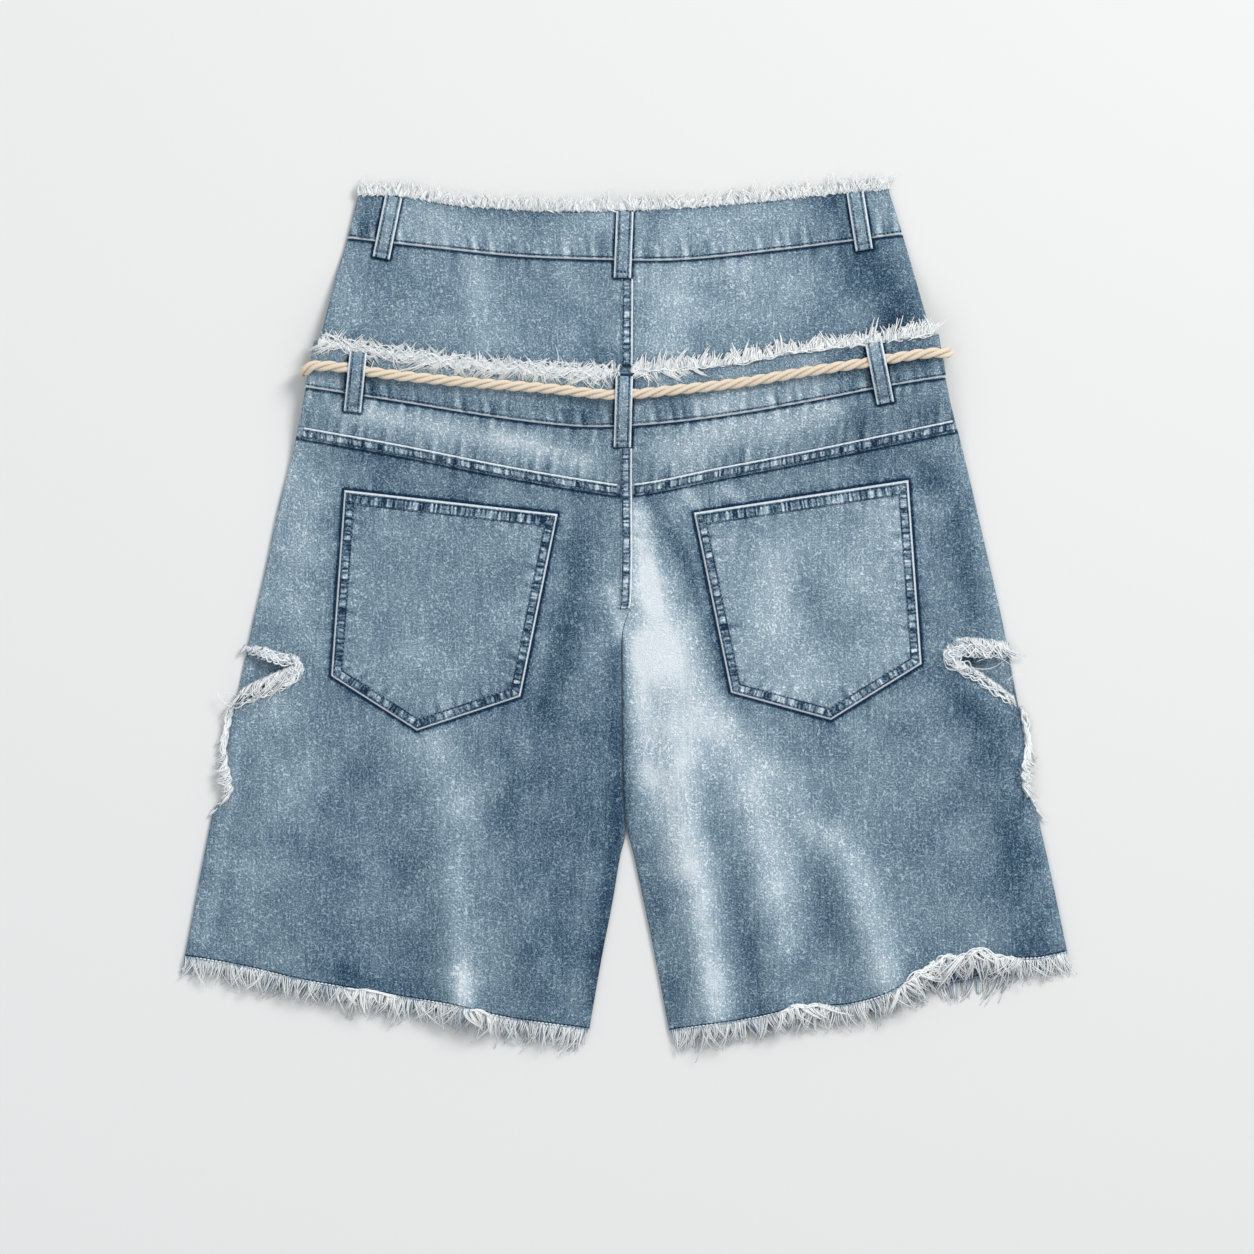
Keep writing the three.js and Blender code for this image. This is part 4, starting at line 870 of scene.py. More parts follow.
def seam_wear_and_shadow_group():
    """Tone beside a sewn edge, from the distance off it and the run along it: a pale worn line on the edge,
    dark dotted lines along the stitch rows that are painted shade of the sunken stitches, blotches between
    them, and a painted shadow beside the edge of a piece that lies on top, from the Lee distance."""
    tree, given, result = new_group(
        "Seam shadow and worn lines",
        [("Off", "Float", 99.0), ("Along", "Float", 0.0), ("Lee", "Float", 99.0), ("First row", "Float", 2.0),
         ("Second row", "Float", 8.5), ("Edge line", "Float", 0.5), ("Blotches", "Float", 0.3)],
        [("Tone", "Float"), ("Height", "Float")])
    off, along = given["Off"], given["Along"]
    line = ranged(tree, off, 0.75, 1.45, 1.0, 0.0, "SMOOTHSTEP")
    dots = calc(tree, "ADD", calc(tree, "MULTIPLY", calc(
        tree, "SINE", calc(tree, "MULTIPLY", along, 2 * math.pi / 3.2)), 0.35), 0.65)
    rows = []
    for key in ("First row", "Second row"):
        gap = calc(tree, "ABSOLUTE", calc(tree, "SUBTRACT", off, given[key]))
        rows.append(ranged(tree, gap, 0.25, 0.85, 1.0, 0.0, "SMOOTHSTEP"))
    row = calc(tree, "MAXIMUM", *rows)
    place = add_node(tree, "CombineXYZ", {"X": calc(tree, "MULTIPLY", along, 0.34),
                                          "Y": calc(tree, "MULTIPLY", off, 0.05)}).outputs[0]
    blotch = ranged(tree, noise(tree, place, 1.0), 0.38, 0.62, -1.0)
    place = add_node(tree, "CombineXYZ", {"X": calc(tree, "MULTIPLY", along, 0.03), "Y": 7.0}).outputs[0]
    patchy = ranged(tree, noise(tree, place, 5.0), 0.38, 0.58, 0.4)
    blotch = calc(tree, "MULTIPLY", blotch, patchy)
    reach = calc(tree, "ADD", given["Second row"], 0.5)
    between = calc(tree, "MULTIPLY", ranged(tree, off, 1.0, 2.5),
                   ranged(tree, off, reach, calc(tree, "SUBTRACT", reach, 1.5)))
    tone = calc(tree, "MULTIPLY", line, given["Edge line"])
    # Dark dots along the stitch rows: painted shade of the sunken stitches.
    tone = calc(tree, "SUBTRACT", tone, calc(tree, "MULTIPLY", calc(tree, "MULTIPLY", row, dots), 0.74))
    # Painted shadow beside the edge of a piece that lies on top, from the Lee distance.
    tone = calc(tree, "SUBTRACT", tone, ranged(tree, given["Lee"], 0.8, 3.0, 0.62, 0.0, "SMOOTHSTEP"))
    tone = calc(tree, "ADD", tone, calc(tree, "MULTIPLY", calc(tree, "MULTIPLY", blotch, between),
                                        given["Blotches"]))
    tree.links.new(tone, result["Tone"])
    tree.links.new(calc(tree, "SUBTRACT", calc(tree, "MULTIPLY", between, 0.4), row), result["Height"])
    return tree


def colour_ramp(tree, factor, stops):
    ramp = add_node(tree, "ValToRGB", {"Fac": factor})
    elements = ramp.color_ramp.elements
    while len(elements) < len(stops):
        elements.new(0.5)
    for element, (at, colour) in zip(elements, stops):
        element.position, element.color = at, (*colour, 1)
    return ramp.outputs[0]


def plain_material(name, roughness, specular=0.25, sheen=0.0):
    material = bpy.data.materials.new(name)
    material.use_nodes = True
    shader = material.node_tree.nodes["Principled BSDF"]
    shader.inputs["Roughness"].default_value = roughness
    shader.inputs["Specular IOR Level"].default_value = specular
    shader.inputs["Sheen Weight"].default_value = sheen
    return material, material.node_tree, shader


def bump(tree, height, strength, distance, shader):
    node = add_node(tree, "Bump", {"Height": height, "Strength": strength, "Distance": distance})
    tree.links.new(node.outputs[0], shader.inputs["Normal"])


def denim_material(name, colours, rows=(2.0, 8.5), edge_line=0.5, blotches=0.3):
    """Washed denim: the piece's tone with its painted shade and highlights, the seam tone with its worn lines
    and painted shadow, and grain, through a ramp from deep to bleached.
    """
    material, tree, shader = plain_material(name, 0.95, 0.06, 0.0)
    place = millimetres(tree)
    grain = use_group(tree, bpy.data.node_groups["Washed grain"], Vector=place)
    wear_and_shadow = use_group(tree, bpy.data.node_groups["Seam shadow and worn lines"], Off=read_attribute(tree, "off"),
                     Along=read_attribute(tree, "along"), Lee=read_attribute(tree, "lee"),
                     First_row=rows[0], Second_row=rows[1],
                     Edge_line=edge_line, Blotches=blotches)
    tone = calc(tree, "ADD", read_attribute(tree, "tone"), wear_and_shadow["Tone"])
    for key, weight in (("Grain", 0.45), ("Fine", 0.42), ("Streaks", 0.34), ("Clouds", 0.46)):
        tone = calc(tree, "MULTIPLY_ADD", grain[key], weight, tone)
    tone = calc(tree, "MULTIPLY_ADD", tone, 0.8, 0.22)
    stops = [(0.0, colours.shadow_ink), (0.2, colours.deep), (0.44, colours.middle), (0.70, colours.light),
             (0.97, colours.bleached)]
    tree.links.new(colour_ramp(tree, tone, stops), shader.inputs["Base Color"])
    height = calc(tree, "MULTIPLY_ADD", grain["Grain"], 1.0, calc(tree, "MULTIPLY", grain["Fine"], 1.1))
    height = calc(tree, "ADD", height, calc(tree, "MULTIPLY", wear_and_shadow["Height"], 0.6))
    bump(tree, height, 0.7, 0.0005, shader)
    return material


def thread_material(name, pale, dark, roughness=0.95):
    """Loose cotton: each thread's own shade, and paler to its tip."""
    material, tree, shader = plain_material(name, roughness, 0.15, 0.2)
    shade = read_attribute(tree, "shade")
    tree.links.new(colour_ramp(tree, shade, [(0.0, dark), (0.8, pale)]), shader.inputs["Base Color"])
    return material


def rope_material(colours):
    """Twisted cotton: fine yarns across each strand by the run attribute, and painted shade that darkens each
    strand toward the grooves between strands.
    """
    material, tree, shader = plain_material("Cotton rope", 0.85, 0.2, 0.25)
    groove, run = read_attribute(tree, "groove"), read_attribute(tree, "run")
    place = millimetres(tree)
    yarn = calc(tree, "SINE", run)
    fine = noise(tree, place, 0.9, 3.0)
    tone = calc(tree, "MULTIPLY_ADD", yarn, 0.07, calc(tree, "MULTIPLY_ADD", fine, 0.35, groove))
    dark = tuple(0.5 * channel for channel in colours.rope)
    pale = tuple(min(1.0, 1.12 * channel) for channel in colours.rope)
    tree.links.new(colour_ramp(tree, tone, [(0.15, dark), (0.55, colours.rope), (1.0, pale)]),
                   shader.inputs["Base Color"])
    bump(tree, calc(tree, "MULTIPLY_ADD", yarn, 0.5, fine), 0.5, 0.0003, shader)
    return material


def button_material(colours):
    material, tree, shader = plain_material("Aged brass", 0.38, 0.5)
    shader.inputs["Metallic"].default_value = 1.0
    fine = noise(tree, millimetres(tree), 0.6, 3.0)
    dark = tuple(0.5 * channel for channel in colours.button)
    tree.links.new(colour_ramp(tree, fine, [(0.3, dark), (0.62, colours.button)]),
                   shader.inputs["Base Color"])
    return material


# ---------------------------------------------------------------- threads and stitches


def tube_mesh(path, width, thick, sides=3):
    """Threads along paths (thread, station, 3) with half width and half thickness at each station, closed at
    both ends. Rings stand across the path, their flat side up."""
    tangent = np.gradient(path, axis=1)
    tangent /= np.linalg.norm(tangent, axis=-1, keepdims=True) + 1e-9
    side = np.cross(tangent, np.array([0.0, 0.0, 1.0]))
    side /= np.linalg.norm(side, axis=-1, keepdims=True) + 1e-9
    up = np.cross(side, tangent)
    angle = angles(sides) + math.pi / 2
    ring = (side[..., None, :] * (np.cos(angle)[:, None] * width[..., None, None])
            + up[..., None, :] * (np.sin(angle)[:, None] * thick[..., None, None]))
    return (path[..., None, :] + ring).reshape(-1, 3), tube_faces(*path.shape[:2], sides)


def chain_of(line, x0, x1, count=240):
    """Points along a line across the garment."""
    x = np.linspace(x0, x1, count)
    return np.stack([x, line(x)], axis=1)


def arched_chain(line, x0, x1, height):
    """A chain whose middle arches by the height over the line and wavers on its way down to both ends."""
    middle, half = (x0 + x1) / 2, (x1 - x0) / 2

    def arch(x):
        return line(x) + height * clamp(1 - ((x - middle) / half) ** 2) * (1 + 0.35 * np.sin(x * 0.22))

    return chain_of(arch, x0, x1)


def tufts(rng, chain, height, turn, length, tuft=4.2, strands=5, spread=0.25, slant=0.0, curl=0.3, pinch=0.6,
          inset=0.8, lift=0.3, settle=None, pull=0.6, shade=(0.6, 1.0), width=0.40, thick=0.25, along=None,
          leaf=0.42, leaf_shade=0.45, blunt=0.55, overlap=0.8):
    """Tufts of loose threads that leave a chain of points on one side (turn 1 left of its run, -1 right).
    The threads of a tuft lean and bend together and draw in toward its tip; a flat leaf under them fills it,
    and a dark leaf is painted shade in the gaps between the threads.
    Along the way s a thread is at root + out * length * s + ahead * (lean * s + bend * s^2 - aside * s)."""
    chain = np.asarray(chain, float)
    run = run_of(chain)
    count = max(2, int(run[-1] / (tuft * overlap)))
    centre = (np.arange(count) + rng.uniform(0.15, 0.85, count)) * run[-1] / count
    lean = slant + rng.normal(0, spread, count)
    reach = length * np.clip(rng.normal(0.88, 0.17, count), 0.4, 1.3)
    bend = rng.normal(0, curl, count)
    raised = rng.uniform(0, lift, count)
    tone = rng.uniform(*shade, count)
    stations = int(np.clip(round(length / 2.4), 5, 7))
    s = np.linspace(0, 1, stations)

    def paths(aside, own):
        """The threads of every tuft at their places aside from its middle, -1 to 1."""
        at = np.clip(centre[:, None] + aside * tuft / 2, 0, run[-1])
        x, y = place_at(at, run, chain)
        ahead = (np.stack([*place_at(at + 2, run, chain)], axis=-1)
                 - np.stack([*place_at(at - 2, run, chain)], axis=-1))
        ahead /= np.linalg.norm(ahead, axis=-1, keepdims=True) + 1e-9
        out = np.stack([-ahead[..., 1], ahead[..., 0]], axis=-1) * turn
        if along is not None:
            out = 0.4 * out + np.array(along, float) / math.hypot(*along)
            out /= np.linalg.norm(out, axis=-1, keepdims=True)
        way = reach[:, None] * (1 + 0.22 * own[0])
        sideways = lean[:, None] + 0.10 * own[1]
        x_y = (np.stack([x, y], axis=-1)[:, :, None] - out[:, :, None] * inset
               + out[:, :, None] * (way[..., None] * s)[..., None]
               + ahead[:, :, None] * ((way * sideways)[..., None] * s
                                      + (way * bend[:, None])[..., None] * s ** 2
                                      - (aside * pinch * tuft / 2)[..., None] * s)[..., None])
        root = height(x, y) + raised[:, None]
        z = root[..., None] + (0.10 * way)[..., None] * np.sin(math.pi * s) * (1 + 0.5 * own[0][..., None])
        if settle is not None:
            z = mix(z, settle(x_y[..., 0], x_y[..., 1]), pull * s ** 1.3)
        z = np.maximum(z, 0.5) + 0.12 * own[2][..., None]
        return np.concatenate([x_y, z[..., None]], axis=-1).reshape(-1, stations, 3)

    aside = np.linspace(-1, 1, strands)[None, :] + rng.uniform(-0.25, 0.25, (count, strands))
    own = rng.normal(0, 1, (3, count, strands)).clip(-2, 2)
    size = rng.uniform(0.75, 1.25, count * strands)
    own_shade = np.clip(np.repeat(tone, strands) + rng.normal(0, 0.14, count * strands), 0, 1)
    bunches = [(paths(aside, own), width * size, thick * size, own_shade, 3, 0.35)]
    if leaf:
        flat = paths(np.zeros((count, 1)), np.zeros((3, count, 1)) - 0.4)
        flat[..., 2] -= 0.15
        bunches.append((flat, np.full(count, leaf * tuft), np.full(count, 0.18), tone * leaf_shade, 4, blunt))
    return bunches


def fray(name, node, material, bunches, slot_name="fray"):
    """Loose threads from several bunches, each (paths, half width, half thickness, shade, sides, taper)."""
    points, faces, shades, start = [], [], [], 0
    for path, width, thick, shade, sides, narrowing in bunches:
        tip = np.linspace(0, 1, path.shape[1])[None, :]
        taper = 1 - narrowing * tip ** 1.5
        more, parts = tube_mesh(path, width[:, None] * taper, thick[:, None] * taper, sides)
        points.append(more)
        faces.extend(part + start for part in parts)
        start += len(more)
        tinted = shade[:, None] + 0.15 * tip - 0.4 * (1 - tip) ** 6
        shades.append(np.broadcast_to(tinted[..., None], (*path.shape[:2], sides)).ravel())
    piece = new_mesh(name, np.concatenate(points), [
        np.concatenate([part for part in faces if part.shape[1] == size])
        for size in sorted({part.shape[1] for part in faces})], material, shade=np.concatenate(shades))
    return finish_piece(piece, slot_name, *([node] if node else []))


def twists(rng, chain, height, count, length, reach, width=0.42, shade=(0.65, 1.0), lift=1.6, waves=7.0):
    """Threads that wander along a chain of points: to its sides by a slow sine and up by another."""
    chain = np.asarray(chain, float)
    run = run_of(chain)
    s = np.linspace(0, 1, 18)[None, :]
    start, phase, middle = (rng.uniform(*ends, (count, 1)) for ends in (
        (-0.1 * length, max(0.1, run[-1] - 0.8 * length)), (0, 2 * math.pi), (-reach, reach)))
    at = np.clip(start + length * s * rng.uniform(0.6, 1.1, (count, 1)), 0, run[-1])
    x, y = place_at(at, run, chain)
    ahead = [past - before
             for past, before in zip(place_at(at + 3, run, chain), place_at(at - 3, run, chain))]
    scale = np.hypot(*ahead) + 1e-9
    off = 0.55 * middle + 0.6 * reach * np.sin(phase + waves * s)
    x, y = x - ahead[1] / scale * off, y + ahead[0] / scale * off
    z = height(x, y) + 0.4 + lift * (0.5 + 0.5 * np.sin(2 * phase + 0.8 * waves * s))
    half = np.full(count, width)
    return np.stack([x, y, z], axis=-1), half, half, rng.uniform(*shade, count), 4, 0.2


def stitch_rows(name, rows, material, pitch=3.2, length=2.3, width=0.42, thick=0.28):
    """Rows of stitches in one piece. Each row is (points along it, height function): short closed spindles,
    square in section, laid end to end along the row."""
    ends, starts = [], []
    for line, face in rows:
        line = np.asarray(line, float)
        run = run_of(line)
        at = np.arange(pitch / 2, run[-1] - pitch / 2, pitch)
        for offset, keep in ((-length / 2, starts), (length / 2, ends)):
            x, y = place_at(at + offset, run, line)
            keep.append(np.stack([x, y, face(x, y)], axis=1))
    start, end = np.concatenate(starts), np.concatenate(ends)
    s = np.array([0, 0.22, 0.78, 1.0])
    path = start[:, None] + (end - start)[:, None] * s[None, :, None]
    path[..., 2] += np.array([-0.12, thick * 0.7, thick * 0.7, -0.12])
    shape = np.broadcast_to(np.array([0.35, 1, 1, 0.35]), path.shape[:2])
    points, faces = tube_mesh(path, width * shape, thick * shape, 4)
    shade = np.repeat(0.5 + 0.5 * np.sin(np.arange(len(path)) * 12.9898), 16)
    return finish_piece(new_mesh(name, points, faces, material, shade=shade), "denim")


def line_across(line, x0, x1, drop, count=200):
    """Points along a line across the garment, moved down by drop."""
    x = np.linspace(x0, x1, count)
    slope = np.gradient(line(x), x)
    scale = np.hypot(1, slope)
    return np.stack([x + drop * slope / scale, line(x) - drop / scale], axis=1)


def loose_threads(rows, height, width=0.24):
    """Single long threads: a bow between two points, bent to one side by the row's bulge."""
    s = np.linspace(0, 1, 14)[None, :, None]
    rows = np.array(rows, float)
    start, end, bulge = rows[:, None, 0:2], rows[:, None, 2:4], rows[:, None, 4:5]
    step = end - start
    side = np.concatenate([-step[..., 1:], step[..., :1]], axis=-1)
    flat = start + step * s + side * bulge * np.sin(math.pi * s)
    z = height(flat[..., 0], flat[..., 1]) + 0.9 + 1.2 * np.sin(math.pi * s[..., 0])
    path = np.concatenate([flat, z[..., None]], axis=-1)
    count = len(rows)
    return path, np.full(count, width), np.full(count, width), np.linspace(0.7, 1.0, count), 5, 0.6


# ---------------------------------------------------------------- user values


def linear(red, green, blue):
    """Screen colour values of 0 to 255 as the linear ones that a shader takes."""
    values = np.array([red, green, blue]) / 255
    return tuple(np.where(values <= 0.04045, values / 12.92, ((values + 0.055) / 1.055) ** 2.4).tolist())


def colour_property(name, description, *screen):
    return bpy.props.FloatVectorProperty(name=name, description=description, default=linear(*screen), size=3,
                                         subtype="COLOR", min=0.0, max=1.0)


def length_property(name, description, millimetre):
    return bpy.props.FloatProperty(name=name, description=description, default=millimetre * MM, unit="LENGTH",
                                   subtype="DISTANCE", min=0.0)


class ShortsSizes(bpy.types.PropertyGroup):
    cloth_step: length_property("Cloth step", "Spacing of the points on the back's cloth", 2.3)
    front_step: length_property("Front step", "Spacing of the points on the hidden front's cloth", 5.0)
    stitch_pitch: length_property("Stitch pitch", "Length of one stitch and its gap", 3.2)
    hem_fray: length_property("Hem fray", "Length of the loose threads at the hems", 15)
    waist_fray: length_property("Waist fray", "Length of the loose threads at the top edge", 10)
    band_fray: length_property("Band fray", "Length of the loose threads over the lower waistband", 10)
    rope_twist: length_property("Rope twist", "Length of one full turn of the rope's strands", 36)


class ShortsColours(bpy.types.PropertyGroup):
    # The darkest stop is the painted shadow beside seams and stitch rows; deep is partly painted shade in
    # creases, and bleached is partly painted highlights on folds.
    shadow_ink: colour_property("Shadow ink", "Painted shadow beside the edges of seams and along stitch rows", 24, 46, 72)
    deep: colour_property("Deep", "Dark denim, partly painted shade in creases", 58, 84, 106)
    middle: colour_property("Middle", "Denim where it is least worn", 110, 134, 151)
    light: colour_property("Light", "Washed denim", 160, 182, 197)
    bleached: colour_property("Bleached", "Bleached denim, partly painted highlights on folds", 228, 237, 243)
    fray_pale: colour_property("Fray", "Loose cotton threads", 251, 254, 255)
    # The dark end of the fray colours also colours the dark leaves that are painted shade between threads.
    fray_dark: colour_property("Fray roots", "Loose threads near the cloth, and painted shade in the gaps between threads", 132, 156, 176)
    thread_pale: colour_property("Thread", "Sewing thread", 112, 132, 152)
    thread_dark: colour_property("Worn thread", "Sewing thread where it is dirty", 34, 56, 84)
    rope: colour_property("Rope", "Cotton rope", 222, 207, 187)
    button: colour_property("Buttons", "Brass of the buttons", 168, 122, 74)
    floor: colour_property("Floor", "Floor of the stage", 233, 234, 234)


# ---------------------------------------------------------------- pieces


def band_profile(off):
    """The sewn lower edge of a band: rounded over, with a trough along its stitch row."""
    return -0.7 * (1 - swell(off / 1.8)) - 0.25 * bell((off - 2.0) / 1.0)


def upper_band_face(x, y):
    return upper_band_back(x, y) + band_profile(y - upper_band_seam(x))


def lower_band_face(x, y):
    return lower_band_back(x, y) + band_profile(y - lower_band_seam(x))


def dropped(line, drop):
    return lambda x: line(x) - drop


def centre_left(y):
    return middle_line(y) - SEAM / 2


def centre_right(y):
    return middle_line(y) + SEAM / 2


def side_left(y):
    return lower_left(y) + 0.7


def side_right(y):
    return lower_right(y) - 0.7


class PieceOperator:
    """What the operators share."""

    bl_options = {"REGISTER"}

    def execute(self, context):
        self.make(context.scene.shorts_sizes, context.scene.shorts_colours)
        return {"FINISHED"}


class SHORTS_OT_materials(PieceOperator, bpy.types.Operator):
    """Make the finishes of the cloth, threads, rope and buttons"""

    bl_idname = "shorts.materials"
    bl_label = "Finishes"

    def make(self, sizes, colours):
        worn_grain_group()
        seam_wear_and_shadow_group()
        denim_material("Denim band", colours, rows=(BAND_ROW, BAND_ROW), edge_line=0.95, blotches=0.0)
        denim_material("Denim panel", colours, rows=(NO_ROW, NO_ROW), edge_line=0.0, blotches=0.0)
        denim_material("Denim leg", colours, rows=(LEG_ROW, LEG_ROW), edge_line=0.35, blotches=0.0)
        denim_material("Denim pocket", colours, rows=POCKET_ROWS, edge_line=1.05, blotches=0.56)
        denim_material("Denim felled seam", colours, rows=FELLED_ROWS, edge_line=1.05, blotches=0.56)
        denim_material("Denim loop", colours, rows=(LOOP_ROW, LOOP_ROW), edge_line=0.8, blotches=0.0)
        thread_material("Frayed cotton", tuple(colours.fray_pale), tuple(colours.fray_dark))
        thread_material("Sewing thread", tuple(colours.thread_pale), tuple(colours.thread_dark), 0.7)
        rope_material(colours)
        button_material(colours)


class SHORTS_OT_waistbands(PieceOperator, bpy.types.Operator):
    """Make both waistbands, back and front"""

    bl_idname = "shorts.waistbands"
    bl_label = "Waistbands"

    def make(self, sizes, colours):
        step, front_step = 0.85 * sizes.cloth_step / MM, sizes.front_step / MM
        material = bpy.data.materials["Denim band"]
        halves = {"back": (None, None), "front_left": (None, centre_left),
                  "front_right": (centre_right, None)}
        bands = [
            ("upper_waistband", waist_edge, upper_band_seam, upper_left, upper_right, upper_band_face,
             upper_band_front, 3.5, 0.9),
            ("lower_waistband", lower_band_edge, lower_band_seam, lower_left, lower_right, lower_band_face,
             lower_band_front, 5, 2.2),
        ]
        for band, top, bottom, left, right, back, front, roundness, seed in bands:
            for half, (inner_from, inner_to) in halves.items():
                facing = 1 if half == "back" else -1
                if band == "lower_waistband":
                    inner_from = inner_from and inner_right
                    inner_to = inner_to and inner_left
                grid = panel_grid(top, bottom, inner_from or left, inner_to or right,
                                  back if half == "back" else front, facing,
                                  None if inner_from else folded, None if inner_to else folded, roundness,
                                  step if facing > 0 else front_step, row_step=1.5 if facing > 0 else 3.0)
                x, y = grid[..., 0], grid[..., 1]
                name = f"{band}_{half}"
                cloth(f"{name}_cloth", name, grid, facing, WAISTBAND, band_tone(x, y, bottom, top, seed),
                      y - bottom(x), x, material,
                      lee=beyond_loops(x, y) + 0.3 if facing > 0 else 99.0)


class SHORTS_OT_upper_panels(PieceOperator, bpy.types.Operator):
    """Make the panels between the two waistbands"""

    bl_idname = "shorts.upper_panels"
    bl_label = "Upper panels"

    def make(self, sizes, colours):
        material = bpy.data.materials["Denim panel"]
        halves = {"left": (upper_left, centre_left, folded, None),
                  "right": (centre_right, upper_right, None, folded)}
        for side, (left, right, turn_left, turn_right) in halves.items():
            for layer, facing, face, step in (
                    ("back", 1, upper_back, sizes.cloth_step), ("front", -1, front_lift, sizes.front_step)):
                grid = panel_grid(dropped(upper_band_seam, BUTT_GAP), dropped(lower_band_seam, -4), left,
                                  right, face, facing, turn_left, turn_right, 3, step / MM)
                name = f"upper_panel_{layer}_{side}"
                x, y = grid[..., 0], grid[..., 1]
                cloth(f"{name}_cloth", name, grid, facing, DENIM, upper_tone(x, y), 99.0, 0.0, material,
                      lee=upper_lee(x, y))


class SHORTS_OT_yokes(PieceOperator, bpy.types.Operator):
    """Make the yokes below the lower waistband"""

    bl_idname = "shorts.yokes"
    bl_label = "Yokes"

    def make(self, sizes, colours):
        halves = {"left": (side_left, inner_left, folded, None),
                  "right": (inner_right, side_right, None, folded)}
        for side, (left, right, turn_left, turn_right) in halves.items():
            grid = panel_grid(dropped(lower_band_seam, BUTT_GAP), dropped(yoke_seam, -SEAM / 2), left, right,
                              leg_back, 1, turn_left, turn_right, 3, sizes.cloth_step / MM * 0.85)
            x, y = grid[..., 0], grid[..., 1]
            cloth(f"yoke_{side}_cloth", f"yoke_{side}", grid, 1, DENIM, leg_tone(x, y, hem_left), 99.0, 0.0,
                  bpy.data.materials["Denim panel"], lee=leg_lee(x, y))


class SHORTS_OT_legs(PieceOperator, bpy.types.Operator):
    """Make the legs, back and front, with the rips cut through them"""

    bl_idname = "shorts.legs"
    bl_label = "Legs"

    def make(self, sizes, colours):
        material = bpy.data.materials["Denim leg"]
        halves = {"left": (side_left, inner_left, folded, crotch_turn),
                  "right": (inner_right, side_right, crotch_turn, folded)}
        hems = {"left": (hem_left, hem_left), "right": (hem_right_back, hem_right_front)}
        for side, (left, right, turn_left, turn_right) in halves.items():
            back_hem, front_hem = hems[side]
            grid = panel_grid(dropped(yoke_seam, SEAM / 2), back_hem, left, right, leg_back, 1, turn_left,
                              turn_right, 3, sizes.cloth_step / MM)
            x, y = grid[..., 0], grid[..., 1]
            cloth(f"leg_back_{side}_cloth", f"leg_back_{side}", grid, 1, DENIM, leg_tone(x, y, back_hem),
                  y - back_hem(x), x, material, rip_outlines(side), lee=leg_lee(x, y))
            grid = panel_grid(dropped(lower_band_seam, BUTT_GAP), front_hem, left, right, leg_front, -1,
                              turn_left, turn_right, 3, sizes.front_step / MM)
            x, y = grid[..., 0], grid[..., 1]
            cloth(f"leg_front_{side}_cloth", f"leg_front_{side}", grid, -1, DENIM, leg_tone(x, y, front_hem),
                  y - front_hem(x), x, material, rip_outlines(side, bite_only=True))


def strip_grid(middle, half, columns, face, wall, edge=0.9):
    """A strip about a middle line (x, y, across x, across y) whose edges roll down by a quarter sine."""
    x, y, across_x, across_y = (np.asarray(v, float)[:, None] for v in middle)
    a = half * np.sin(np.linspace(-1, 1, columns) * math.pi / 2)[None, :]
    px, py = x + a * across_x, y + a * across_y
    z = face(px, py) + wall - edge * (1 - swell((half - np.abs(a)) / 1.7))
    return np.stack([px, py, z], axis=-1), np.broadcast_to(a, px.shape)


class SHORTS_OT_felled_seams(PieceOperator, bpy.types.Operator):
    """Make the flat-felled seams of the yoke and of the centre back"""

    bl_idname = "shorts.felled_seams"
    bl_label = "Felled seams"

    def make(self, sizes, colours):
        material = bpy.data.materials["Denim felled seam"]
        half, wall = FELLED_WIDTH / 2, 0.8
        for side, x0, x1 in (("left", -243, -FELLED_WIDTH + 1.5), ("right", 6, 245)):
            x = np.linspace(x0, x1, 170)
            slope = np.gradient(yoke_seam(x), x)
            scale = np.hypot(1, slope)
            grid, a = strip_grid((x, yoke_seam(x) - half, -slope / scale, 1 / scale), half, 11,
                                 lambda px, py: (leg_back(px, py) + SEAM_RISE
                                                 + 0.2 * gathers(px, py * 0, 9, 0.5)), wall)
            tone = leg_tone(grid[..., 0], grid[..., 1], hem_left) - 0.02
            tone += 0.14 * gathers(grid[..., 0], a, 9, 1.4)
            cloth(f"yoke_seam_{side}_cloth", f"yoke_seam_{side}", grid[:, ::-1], -1, wall, tone[:, ::-1],
                  (half - a)[:, ::-1], grid[:, ::-1, 0], material)
        rows = (("upper", 251, float(lower_band_edge(0.0)) + 4, upper_back, upper_tone),
                ("seat", 124, 4, leg_back, None))
        for part, y0, y1, face, tone_of in rows:
            y = np.linspace(y0, y1, 90)
            grid, a = strip_grid((middle_line(y) - half, y, np.ones(90), np.zeros(90)), half, 11,
                                 raised(face, SEAM_RISE), wall)
            x_grid, y_grid = grid[..., 0], grid[..., 1]
            tone = tone_of(x_grid, y_grid) if tone_of else leg_tone(x_grid, y_grid, hem_left)
            cloth(f"centre_seam_{part}_cloth", f"centre_seam_{part}", grid, 1, wall,
                  tone - 0.02 + 0.14 * gathers(y_grid, a, 9, 0.2), half - a, y_grid, material)


def pocket_off(side, x, y):
    """Distance inside the pocket's edge, run along it, and the distance below its top edge."""
    distance, run = pocket_distance(side, x, y)
    start, _, outward, _, _ = pocket_edges(side)
    top = -((x - start[0, 0]) * outward[0, 0] + (y - start[0, 1]) * outward[0, 1])
    return -distance, run, top


def pocket_face(side, x, y):
    """The pocket over the leg: rolled edges, troughs at its stitch rows and a thicker folded top hem."""
    off, run, top = pocket_off(side, x, y)
    rows = bell((off - 1.9) / 1.0) + bell((off - 7.6) / 1.1)
    hem = 0.5 * (1 - smooth((top - 9.4) / 1.6))
    puffs = 0.35 * gathers(run, off - 4.8, 3.2, 0.8) + 0.25 * gathers(run, off - 10, 5, 1.9)
    return leg_back(x, y) + SEAM_RISE + 1.35 * swell(off / 2.0) - 0.28 * rows + hem + puffs * swell(off / 3)


